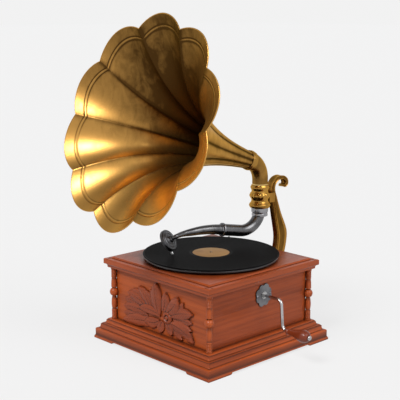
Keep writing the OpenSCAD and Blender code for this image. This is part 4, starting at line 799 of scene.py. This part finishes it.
record_z = 196.5
press = rounded([[3.65, 0], [149.0, 0], [149.85, 0.6], [150.0, 1.05], [149.85, 1.5], [149.0, 2.1],
    [147.2, 2.1], [146.4, 1.92], [48.6, 1.92], [47.8, 2.1], [46.6, 2.1], [45.6, 1.8], [40.7, 1.8],
    [40.7, 1.6], [3.65, 1.6], [3.65, 0]], 0.25, 2)[:-1]
made("disc", [quads(lathe(press + (0, record_z), 240), round_v=True)], "turntable", "record", m,
    crease=40)
m, t, s = finish_of("label_paper", specular=0.25)
place = object_place(t)
fibre = noise(t, place, 220.0, 5, 0.7, (1, 0.35, 1), 1.0)
stain = noise(t, place, 30.0, 3, 0.6)
radius = radius_of(t, place)
pressed = maths(t, "MULTIPLY", band(t, radius, 0.0352, 0.0358), band(t, radius, 0.0370, 0.0364))
paper = blend_of(t, scaled(t, fibre, 0.6), (0.60, 0.35, 0.145, 1), (0.47, 0.27, 0.105, 1))
paper = blend_of(t, scaled(t, band(t, stain, 0.5, 0.75), 0.4), paper, (0.30, 0.17, 0.07, 1))
set_look(t, s, paper, scaled(t, fibre, 0.15, 0.55), maths(t, "SUBTRACT", scaled(t, fibre, 0.4), pressed),
    0.0001)
label = rounded([[3.65, 1.62], [40.45, 1.62], [40.45, 2.06], [8.2, 2.10], [7.6, 2.00], [3.65, 2.00],
    [3.65, 1.62]], 0.1, 2)[:-1]
made("label", [quads(lathe(label + (0, record_z), 120), round_v=True)], "turntable", "record_label", m,
    crease=40)


# Crank
# A nickel-plated steel rod bent twice, screwed into the winding shaft, with a turned grip that spins on
# its end between a washer and a riveted button.
def tube_along(path, radii, side, sides):
    """Circles of the given radii round a path, square to it, that start on the side vector: p[u round,
    v along]."""
    path = np.asarray(path, float)
    t = np.gradient(path, axis=0)
    t /= np.linalg.norm(t, axis=1)[:, None]
    x = np.asarray(side, float)[None, :] - (t @ np.asarray(side, float))[:, None] * t
    x /= np.linalg.norm(x, axis=1)[:, None]
    y = np.cross(t, x)
    a = np.linspace(0, 2 * math.pi, sides, endpoint=False)[:, None, None]
    r = np.broadcast_to(np.asarray(radii, float), (len(path),))[None, :, None]
    return path[None] + r * (np.cos(a) * x[None] + np.sin(a) * y[None])


crank_y, crank_z, throw, rod, bend, slant = 10.0, 131.5, 62.7, 3.4, 12.0, math.radians(4.5)
grip_x, grip_z, grip_l = 217.0, crank_z - throw, 58.0
drop = (throw - 2 * bend * (1 - math.sin(slant))) / math.cos(slant)
x1 = grip_x - 2.4 - 2 * bend * math.cos(slant) - drop * math.sin(slant)
x4 = x1 + 2 * bend * math.cos(slant) + drop * math.sin(slant)
q = np.linspace(math.pi / 2, slant, 15)
r = np.linspace(math.pi + slant, 1.5 * math.pi, 15)
rod_path = np.concatenate([[[142.2, crank_z], [142.8, crank_z], [x1 - 4, crank_z]],
    np.stack([x1 + bend * np.cos(q), crank_z - bend + bend * np.sin(q)], 1),
    np.stack([x4 + bend * np.cos(r), grip_z + bend + bend * np.sin(r)], 1),
    [[x4 + 4, grip_z], [grip_x + grip_l + 2.5, grip_z], [grip_x + grip_l + 3, grip_z]]])
rod_path = np.stack([rod_path[:, 0], np.full(len(rod_path), crank_y), rod_path[:, 1]], 1)
rod_r = np.full(len(rod_path), rod)
rod_r[[0, -1]] = rod - 0.5
lie = (0, 90, 0)
washer = lathe(rounded([[0, 0], [5.5, 0], [5.5, 1.3], [0, 1.3]], 0.4, 3), 48)
q = np.linspace(0.1, math.pi / 2, 9)
button = lathe(np.concatenate([[[0, 0], [4.7, 0], [5, 0.3], [5, 2.0]],
    np.stack([5 * np.cos(q), 2 + 2.4 * np.sin(q)], 1)]), 48)
nickel_rod = plated("nickel_rod", (0.48, 0.47, 0.47), (0.20, 0.20, 0.20), 0.13, 0.00002)
made("crank_rod", [quads(tube_along(rod_path, rod_r, (0, 1, 0), 36), cap=True),
    quads(about(washer, lie, (grip_x - 1.6, crank_y, grip_z))),
    quads(about(button, lie, (grip_x + grip_l + 0.3, crank_y, grip_z)))],
    "crank", "crank_handle", nickel_rod)
u = np.linspace(0, 1, 41)[1:]
q = np.radians(np.linspace(3, 84, 24))
big, widest = 13.3, grip_l * 0.76
swelling = 6.4 + (big - 6.4) * (1 - np.cos(math.pi * u ** 1.15)) / 2
dome = big - 6 + 6 * np.cos(q) - 0.02 * np.degrees(q)
grip = np.concatenate([[[3.45, 0.25], [3.6, 0], [6.4, 0], [7.0, 0.3], [7.4, 0.9], [7.5, 2.0], [7.3, 3.1],
        [6.6, 4.2]],
    np.stack([swelling, 4.6 + (widest - 4.6) * u], 1),
    np.stack([dome, widest + (grip_l - widest - 0.8) * np.sin(q) / math.sin(math.radians(84))], 1),
    [[5.2, grip_l - 0.35], [3.6, grip_l], [3.45, grip_l - 0.25]]])
grip_wood = mahogany("grip_wood", "x", (0.20, 0.034, 0.009, 1), (0.09, 0.015, 0.005, 1), 0.25, 0.003)
made("crank_knob", [quads(about(lathe(grip, 72), lie, (grip_x, crank_y, grip_z)), round_v=True)], "grip",
    "crank_grip", grip_wood, crease=50)


# Horn
# Ten petals of sheet brass, each bulged between two folded seams and joined into an exponential flare;
# the mouth edge is rolled over a wire and a bead is pressed round it 14 mm in.
petals, mouth, swell, throat, grow, thick, reach = 10, 203.4, 0.116, 18.4, 115.0, 1.4, 385.0
tilt, pivot_z, elbow_r = 71.1, 377.5, 48.0
elbow_tan = elbow_r * math.tan(math.radians(tilt / 2))
horn_l = reach - elbow_tan - 6


def flare(s):
    """Radius at the seams, s behind the mouth: throat plus an exponential that fades to nothing at the
    throat."""
    fade = math.exp(-horn_l / grow)
    return throat + (mouth - throat) * (np.exp(-s / grow) - fade) / (1 - fade)


def horn_place(p):
    """From the horn's own frame, z out along its axis from the pivot, to the gramophone's."""
    return about(p, (tilt, 0, 0), (0, swivel_y, pivot_z))


def horn_wall(s, off, pull, proud):
    """One wall of the horn: radius flare(s) (1 + swell (1 - |u|^1.9)) with u from -1 to 1 across a petal
    and swell a quarter less at the throat, moved by off outwards and by pull along the axis, its seams
    folded inwards by proud. Returns the grid p[u, v] and how near each point is to a seam, from 0 to
    1."""
    x = np.linspace(-1, 1, 29)[:-1]
    u = np.sin(x * math.pi / 2) * 0.5 + x * 0.5
    u = np.tile(u, petals)[:, None]
    a = (np.repeat(np.arange(petals), 28)[:, None] + u / 2) * 2 * math.pi / petals
    r = flare(s)[None, :] * (1 + swell * (1 - 0.25 * s / horn_l)[None, :] * (1 - np.abs(u) ** 1.9))
    gap = (1 - np.abs(u)) * math.pi * flare(s)[None, :] / petals
    fold = np.exp(-(gap / 1.5) ** 2) * np.clip(s / 20, 0, 1)[None, :]
    r = r + off[None, :] - proud * fold
    z = np.broadcast_to((reach - s + pull)[None, :], r.shape)
    near_seam = np.exp(-(gap / (2.0 + 0.02 * flare(s)[None, :])) ** 2)
    return np.stack([r * np.sin(a), r * np.cos(a), z], -1), near_seam


behind = np.concatenate([[1.2, 3.0, 5.5, 8.5, 10.6], np.linspace(11.2, 16.6, 19),
    [18, 20.5, 24, 29, 35, 42], np.linspace(50, horn_l - 8, 44), [horn_l - 3, horn_l]])


def ring_at(place, width):
    """1 at a place behind the mouth, fading to 0 over the width."""
    return np.exp(-((behind - place) / width) ** 2)


bead_at, wire_r = 13.8, 1.2
steep = flare(behind + 0.5) - flare(behind - 0.5)
across_r = thick / np.sqrt(1 + steep ** 2)
pull_in = np.where(behind > horn_l - 1, 0, -steep * across_r)
press_bead = 1.2 * ring_at(bead_at, 1.2)
p_out, crease_out = horn_wall(behind, press_bead, np.zeros_like(behind), -0.35)
p_in, crease_in = horn_wall(behind, press_bead - across_r, pull_in, 0.7)
edge_mid = (p_out[:, 0] + p_in[:, 0]) / 2
out_dir = p_out[:, 0] - p_in[:, 0]
out_dir /= np.linalg.norm(out_dir, axis=1)[:, None]
tip_dir = p_out[:, 0] - p_out[:, 1]
tip_dir /= np.linalg.norm(tip_dir, axis=1)[:, None]
out_dir, tip_dir = out_dir[:, None], tip_dir[:, None]
roll = np.radians(np.linspace(-28, 208, 15))[None, :, None]
wire = edge_mid[:, None] + wire_r * (np.sin(roll) * tip_dir - np.cos(roll) * out_dir) + 0.1 * tip_dir
horn_skin = np.concatenate([p_in[:, ::-1], wire, p_out], 1)
# Patina and painted shade on the horn: browner deep towards the throat and at the seams, painted shade on
# the upper inside and in two lines either side of the pressed bead, and painted highlight on the bead and
# the rolled wire
deep = np.clip((behind - 25) / 230, 0, 1)[None, :] ** 0.7
painted_upper_shade = np.clip(0.25 + 0.95 * p_in[:, :, 1] / np.hypot(p_in[:, :, 0], p_in[:, :, 1]), 0, 1.2) ** 1.3
painted_bead_lines = 0.75 * ring_at(11.9, 0.75) + 0.75 * ring_at(15.7, 0.75) - 0.3 * ring_at(bead_at, 0.8)
patina_and_shade_in = 0.85 * deep + 0.70 * painted_upper_shade + 0.45 * crease_in + painted_bead_lines[None, :] - 0.10
patina_and_shade_out = 0.75 * crease_out + (0.40 * crease_out ** 0.15 + 0.10) * deep + painted_bead_lines[None, :]
patina_and_shade = np.concatenate([patina_and_shade_in[:, ::-1], np.full(wire.shape[:2], -0.15), patina_and_shade_out], 1)
horn_brass = brass("horn_brass", (0.50, 0.265, 0.068), (0.070, 0.033, 0.008), 0.27, 0.0, "patina_and_shade",
    0.00010, 0.006)
made("horn_flare", [quads(horn_place(horn_skin), round_v=True)], "horn", "horn", horn_brass, crease=70,
    marks={"patina_and_shade": patina_and_shade})


# Throat collar, elbow and spigot
# A spun band over the joint, a brass tube drawn to a bend, and the turned spigot on which the horn
# swivels.
def pipe(path, bore, skin, side, sides):
    """An open pipe: the rings of its bore, backwards, then those of its skin."""
    inner, outer = tube_along(path, bore, side, sides), tube_along(path, skin, side, sides)
    return np.concatenate([inner[:, ::-1], outer], 1)


swelled = 1 + swell * 0.75
neck = throat * swelled
wide = flare(horn_l - 7.0) * swelled + 0.25
band_ring = np.concatenate([[[neck + 0.2, 0], [neck + 1.5, 0], [neck + 1.9, 0.4], [neck + 1.75, 1.6]],
    turned_line(neck + 1.75, 1.3, 2, 12, 17),
    [[neck + 1.9, 15.4], [neck + 1.6, 16], [wide, 16], [wide, 8.8], [neck + 0.2, 8.8]]])
band_ring = about(lathe(band_ring, 96), to=(0, 0, reach - horn_l - 9))
band_brass = brass("band_brass", (0.40, 0.215, 0.052), (0.075, 0.035, 0.009), 0.20, 0.10)
made("throat_band", [quads(horn_place(band_ring), round_v=True)], "horn", "throat_collar", band_brass,
    crease=40)
turn_in = np.radians(np.linspace(tilt, 0, 33))
elbow_y, elbow_z = swivel_y - elbow_r, pivot_z - elbow_tan
elbow_line = np.stack([0 * turn_in, elbow_y + elbow_r * np.cos(turn_in),
    elbow_z + elbow_r * np.sin(turn_in)], 1)
lean = math.radians(90 - tilt)
lead = elbow_line[0] + np.array([[6], [4], [2]]) * (0, -math.cos(lean), math.sin(lean))
elbow_line = np.concatenate([lead, elbow_line, [[0, swivel_y, elbow_z - 1.0], [0, swivel_y, 333]]])
far = np.linspace(0, 1, len(elbow_line))
elbow_skin = neck + (17.9 - neck) * far
elbow_pipe = pipe(elbow_line, elbow_skin - 1.8, elbow_skin, (1, 0, 0), 80)
# Painted shade on the elbow: darker at both joints and down one side of the bend, over an even patina
at_foot = 0.30 * np.exp(-((far - 0.95) / 0.12) ** 2)
at_throat = 0.22 * np.exp(-((far - 0.02) / 0.10) ** 2)
ring_a = np.linspace(0, 2 * math.pi, 80, endpoint=False)[:, None]
shade = 0.12 + (at_foot + at_throat)[None, :] + 0.10 * np.sin(ring_a) * np.sin(far * math.pi)[None, :]
elbow_brass = brass("elbow_brass", (0.38, 0.20, 0.048), (0.065, 0.03, 0.008), 0.20, 0.16, "patina_and_shade")
made("elbow", [quads(elbow_pipe, round_v=True)], "horn", "horn_elbow", elbow_brass, crease=50,
    marks={"patina_and_shade": np.concatenate([shade[:, ::-1], shade], 1)})
dressed("horn_spigot", cut_brass)


# Tone arm
# Nickel-plated brass tube, bent once under the socket; its collar turns in the socket, and a raised
# ring closes the joint of the gooseneck.
arm_bend, arm_low, rise, tail_l, arm_r, arm_bore, arm_turn = 46.0, 228.5, 9.5, 53.0, 13.4, 12.0, -101
way = np.array([math.cos(math.radians(rise)), 0, math.sin(math.radians(rise))])
arm_cz = arm_low + arm_bend
arm_start = np.array([arm_bend * (1 + way[2]), 0, arm_cz - arm_bend * way[0]])


def arm_place(p):
    """From the arm's own frame, x along the arm from the swivel, to the gramophone's."""
    return about(p, (0, 0, arm_turn), (0, swivel_y, 0))


def tail_place(p):
    """From a frame at the end of the arm's bend, z along the straight tube, to the gramophone's."""
    return arm_place(about(p, (0, 90 - rise, 0), arm_start))


dark_nickel = plated("dark_nickel", (0.148, 0.148, 0.152), (0.045, 0.045, 0.05), 0.20, 0.00004)
bright_nickel = plated("bright_nickel", (0.33, 0.33, 0.34), (0.12, 0.12, 0.13), 0.15, 0.00002)
ring_nickel = plated("ring_nickel", (0.21, 0.21, 0.22), (0.07, 0.07, 0.075), 0.20, 0.00002)
collar = rounded([[16.9, 258], [18.2, 258], [18.2, 263], [17.7, 264], [17.7, 265.5], [19.2, 267.5],
    [19.4, 275.3], [18.8, 277.7], [13.45, 277.7], [13.45, 291.4], [10.5, 291.4], [10.5, 277],
    [13.45, 277], [13.45, 274.1], [16.9, 270.5], [16.9, 258]], 0.5, 3)[:-1]
made("swivel_collar", [quads(about(lathe(collar, 96), to=(0, swivel_y, 0)), round_v=True)], "tone_arm",
    "arm_collar", bright_nickel)
q = np.radians(np.linspace(0, 90 + rise, 49))
arm_path = np.concatenate([[[0, 0, arm_cz + 2.3], [0, 0, arm_cz + 1.0]],
    np.stack([arm_bend - arm_bend * np.cos(q), 0 * q, arm_cz - arm_bend * np.sin(q)], 1)])
tail = arm_path[-1] + way * np.array([[8], [20], [34], [46], [52.6], [tail_l]])
arm_path = np.concatenate([arm_path, tail])
arm_skin = np.full(len(arm_path), arm_r)
arm_skin[-1] -= 0.4
made("arm", [quads(arm_place(pipe(arm_path, arm_bore, arm_skin, (0, 1, 0), 64)), round_v=True)],
    "tone_arm", "arm_tube", dark_nickel, crease=50)
k = np.linspace(0, math.pi, 15)
ring = np.concatenate([[[arm_r + 0.02, 0]],
    np.stack([arm_r + 0.3 + 1.8 * np.sin(k) ** 0.7, 3 - 3 * np.cos(k)], 1), [[arm_r + 0.02, 6]]])
made("joint_ring", [quads(tail_place(about(lathe(ring, 80), to=(0, 0, tail_l - 6))), round_v=True)],
    "tone_arm", "arm_ring", ring_nickel, crease=50)


# Gooseneck
# A tapering nickel-plated tube that turns up on its sleeve to change the needle; its end curls into the
# back of the soundbox.
box_r, box_tilt, box_turn = 24.5, 31.3, 33.0
box_at = np.array([240.8, -3.8, 229.8])
lean, swing = math.radians(box_tilt), math.radians(box_turn)
box_axis = np.array([-math.sin(swing) * math.cos(lean), math.cos(swing) * math.cos(lean), math.sin(lean)])
neck_start = arm_start + (tail_l + 3) * way
neck_line = through([neck_start + 2.5 * way, [134, 0, 241.6], [160, 0, 242.7], [186, 0.4, 241.8],
    [206, 2.4, 241.4], [217, 5.6, 241.1], [225, 8.8, 240.6], [231, 9.6, 239.6],
    box_at + 15.5 * box_axis, box_at + 12 * box_axis, box_at + 8.4 * box_axis], 8)
neck_r = np.array([arm_bore - 0.3, 10.8, 9.7, 8.2, 6.4, 5.7, 5.2, 4.9, 4.6, 4.6, 4.6])
neck_skin = np.concatenate([neck_r[:1], through(neck_r[:, None], 8)[:, 0]])
neck_pipe = pipe(np.vstack([neck_start, neck_line]), neck_skin - 1.2, neck_skin, (0, 0, 1), 56)
made("neck", [quads(arm_place(neck_pipe), round_v=True)], "gooseneck", "gooseneck", dark_nickel,
    crease=50)
dressed("gooseneck_sleeve", bright_nickel)


# Soundbox
# A gunmetal case holds a thin diaphragm between two rubber rings under a turned face ring. The stylus
# bar sits on the lug of the case with its foot on the diaphragm, and holds the needle in a chuck with a
# thumb screw.
def box_place(p):
    """From the soundbox's own frame, x down along the needle and z back to the gooseneck."""
    return arm_place(about(p, (0, 90 - box_tilt, 90 + box_turn), box_at))


def milled(a, profile):
    """Fine teeth round the front rim of the case, 120 of them, 0.25 deep."""
    rim_here = (profile[None, :, 0] > box_r - 0.5) & (profile[None, :, 1] < -1.2)
    return np.where(rim_here, 1 - 0.010 * (0.5 + 0.5 * np.cos(120 * a)), 1.0)


gunmetal = plated("gunmetal", (0.105, 0.105, 0.11), (0.03, 0.03, 0.033), 0.22, 0.00005)
case = rounded([[4.7, 2.4], [box_r - 3, 2.4], [box_r - 3, -4.6], [box_r - 0.8, -4.6], [box_r, -3.8],
    [box_r, -1.6], [box_r - 0.8, -1], [box_r, -0.4], [box_r, 2.2], [box_r - 1.4, 4],
    [box_r - 3.2, 4.5], [box_r - 3.8, 3.9], [box_r - 6.4, 4.5], [box_r - 7.2, 5.3],
    [box_r * 0.58, 5.8], [box_r * 0.55, 5.1], [box_r * 0.46, 5.4], [box_r * 0.43, 6.2], [8.6, 6.4],
    [7.6, 7.2], [7.6, 11], [6.8, 12], [4.7, 12], [4.7, 2.4]], 0.4, 2)[:-1]
lug, lug_cells, lug_ends = box_shell((box_r - 2.6, -3.8, -4.6), (box_r + 0.6, 3.8, 0.4))
made("soundbox", [quads(box_place(lathe(case, 480, milled)), round_v=True),
    (box_place(lug), lug_cells, lug_ends)], "gooseneck", "soundbox_case", gunmetal, crease=40)
foil_r = np.linspace(0, box_r - 3.6, 90)
wave = 0.22 * np.sin(foil_r / 0.62) * np.clip((foil_r - 5) / 3, 0, 1)
wave = wave * np.clip((box_r - 7.5 - foil_r) / 3, 0, 1)
foil = np.concatenate([np.stack([foil_r, 0.32 + wave], 1),
    np.stack([foil_r[::-1], 0.62 + wave[::-1]], 1)])
foil_metal = plated("foil_metal", (0.62, 0.60, 0.56), (0.35, 0.33, 0.30), 0.30)
made("foil", [quads(box_place(lathe(foil, 120)))], "gooseneck", "diaphragm", foil_metal, crease=50)
m, t, s = finish_of("ring_rubber", specular=0.3)
bloom = noise(t, object_place(t), 240.0, 4, 0.7)
grey = blend_of(t, bloom, (0.018, 0.017, 0.016, 1), (0.055, 0.05, 0.046, 1))
set_look(t, s, grey, scaled(t, bloom, 0.3, 0.5), bloom, 0.0001)
q = np.linspace(0, 2 * math.pi, 20, endpoint=False)
seals = [lathe(np.stack([box_r - 4.8 + 1.68 * np.cos(q), z + 0.72 * np.sin(q)], 1), 96)
    for z in (-0.66, 1.64)]
made("seal_rings", [quads(box_place(seal), round_v=True) for seal in seals], "gooseneck",
    "diaphragm_gaskets", m)
face = rounded([[box_r - 7, -4.4], [box_r - 6, -5], [box_r - 4, -5], [box_r - 3.1, -4.4],
    [box_r - 3.1, -1.4], [box_r - 7, -1.4], [box_r - 7, -4.4]], 0.4, 3)[:-1]
screw_head = lathe(rounded([[0, 0], [1.15, 0], [1.15, 0.7], [0, 0.95]], 0.3, 3), 20)
screw_ring = box_r - 5.05
heads = [quads(box_place(about(screw_head, (180, 0, 0),
    (screw_ring * math.cos(a), screw_ring * math.sin(a), -4.9))))
    for a in np.radians([60, 120, 180, 240, 300])]
ring_steel = plated("ring_steel", (0.36, 0.36, 0.37), (0.15, 0.15, 0.16), 0.22)
made("front_ring", [quads(box_place(lathe(face, 120)), round_v=True)] + heads, "gooseneck", "face_ring",
    ring_steel)
eased("lever_bar", "stylus_bar", "gooseneck", turned_steel, 0.3)
dressed("needle", plated("needle_steel", (0.70, 0.70, 0.70), (0.45, 0.45, 0.45), 0.12))


def knurling(a, profile):
    """Thirty ribs round the head of the thumb screw, none on its chamfers."""
    return np.where(profile[None, :, 0] > 2.2, 1 - 0.07 * (0.5 + 0.5 * np.cos(30 * a)), 1.0)


knurl = rounded([[0, 2.8], [2.0, 2.8], [2.4, 3.1], [2.4, 4.9], [2.0, 5.2], [0, 5.2]], 0.2, 2)
stem = rounded([[0, 1.0], [0.85, 1.0], [0.85, 3.0], [0, 3.0]], 0.1, 2)
screw_at = (box_r + 0.8 + 2.8, 0, -6.6)
made("thumb_screw", [quads(box_place(about(turned, (90, 0, 0), screw_at)))
    for turned in (lathe(knurl, 120, knurling), lathe(stem, 24))],
    "needle_screw", "needle_screw", turned_steel, crease=50)


# Studio
# A pale floor that runs into a pale backdrop, one broad key light to the left of the camera and a
# weaker one to its right.
def sun(name, azimuth, elevation, strength, size):
    """A distant lamp; azimuth 0 shines from the front and 90 from the crank side."""
    lamp = bpy.data.lights.new(name, "SUN")
    lamp.energy = strength
    lamp.angle = math.radians(size)
    added(name, lamp).rotation_euler = (math.radians(90 - elevation), 0, math.radians(azimuth))


def looked_at(tree):
    """1 for a ray from the camera or off a shiny face, 0 for the light that falls on the object."""
    ray = put(tree, "LightPath").outputs
    mirrored = maths(tree, "MAXIMUM", ray["Is Glossy Ray"], ray["Is Transmission Ray"])
    return maths(tree, "MAXIMUM", ray["Is Camera Ray"], mirrored)


sun("key", 8, 47, 2.45, 20)
sun("fill", 98, 42, 1.45, 40)
world = bpy.data.worlds.new("studio")
bpy.context.scene.world = world
world.use_nodes = True
t = world.node_tree
up = put(t, "SeparateXYZ", i0=put(t, "TexCoord").outputs["Generated"]).outputs[2]
pale = blend_of(t, band(t, up, 0.35, 0.95), (0.885, 0.885, 0.885, 1), (0.30, 0.30, 0.30, 1))
feed(t, t.nodes["Background"], Color=blend_of(t, looked_at(t), (0.28, 0.28, 0.29, 1), pale), Strength=1.0)
# To the camera and in reflections the floor is as pale as the backdrop, less a quarter of the object's
# shadow
m, t, s = finish_of("floor_paper", specular=0.0)
feed(t, s, Base_Color=(0.56, 0.56, 0.56, 1), Roughness=1.0)
glow = put(t, "Emission", Color=(0.972, 0.972, 0.972, 1), Strength=1.0).outputs[0]
paper = put(t, "MixShader", i0=maths(t, "MULTIPLY", looked_at(t), 0.75), i1=s.outputs[0], i2=glow)
feed(t, t.nodes["Material Output"], Surface=paper.outputs[0])
floor_half = 40
floor = bpy.data.meshes.new("floor")
floor.from_pydata([(x * floor_half, y * floor_half, 0) for x, y in ((-1, -1), (1, -1), (1, 1), (-1, 1))],
    [], [(0, 1, 2, 3)])
floor.materials.append(m)
added("floor", floor)

# The camera stands to the right of the front, level with the top of the horn, and looks a little down
lens = bpy.data.cameras.new("camera")
lens.lens, lens.sensor_width = 85.17, 36.0
eye = np.array([1.448256, -1.405468, 0.718805])
back_to = eye - np.array([-0.032806, -0.002370, 0.310986])
back_to /= np.linalg.norm(back_to)
right = np.cross((0, 0, 1), back_to)
right /= np.linalg.norm(right)
above = np.cross(back_to, right)
stand = np.eye(4)
stand[:3] = np.stack([right, above, back_to, eye], 1)
camera = added("camera", lens)
camera.matrix_world = Matrix(stand.tolist())
bpy.context.scene.camera = camera
bpy.context.scene.view_settings.view_transform = "Standard"
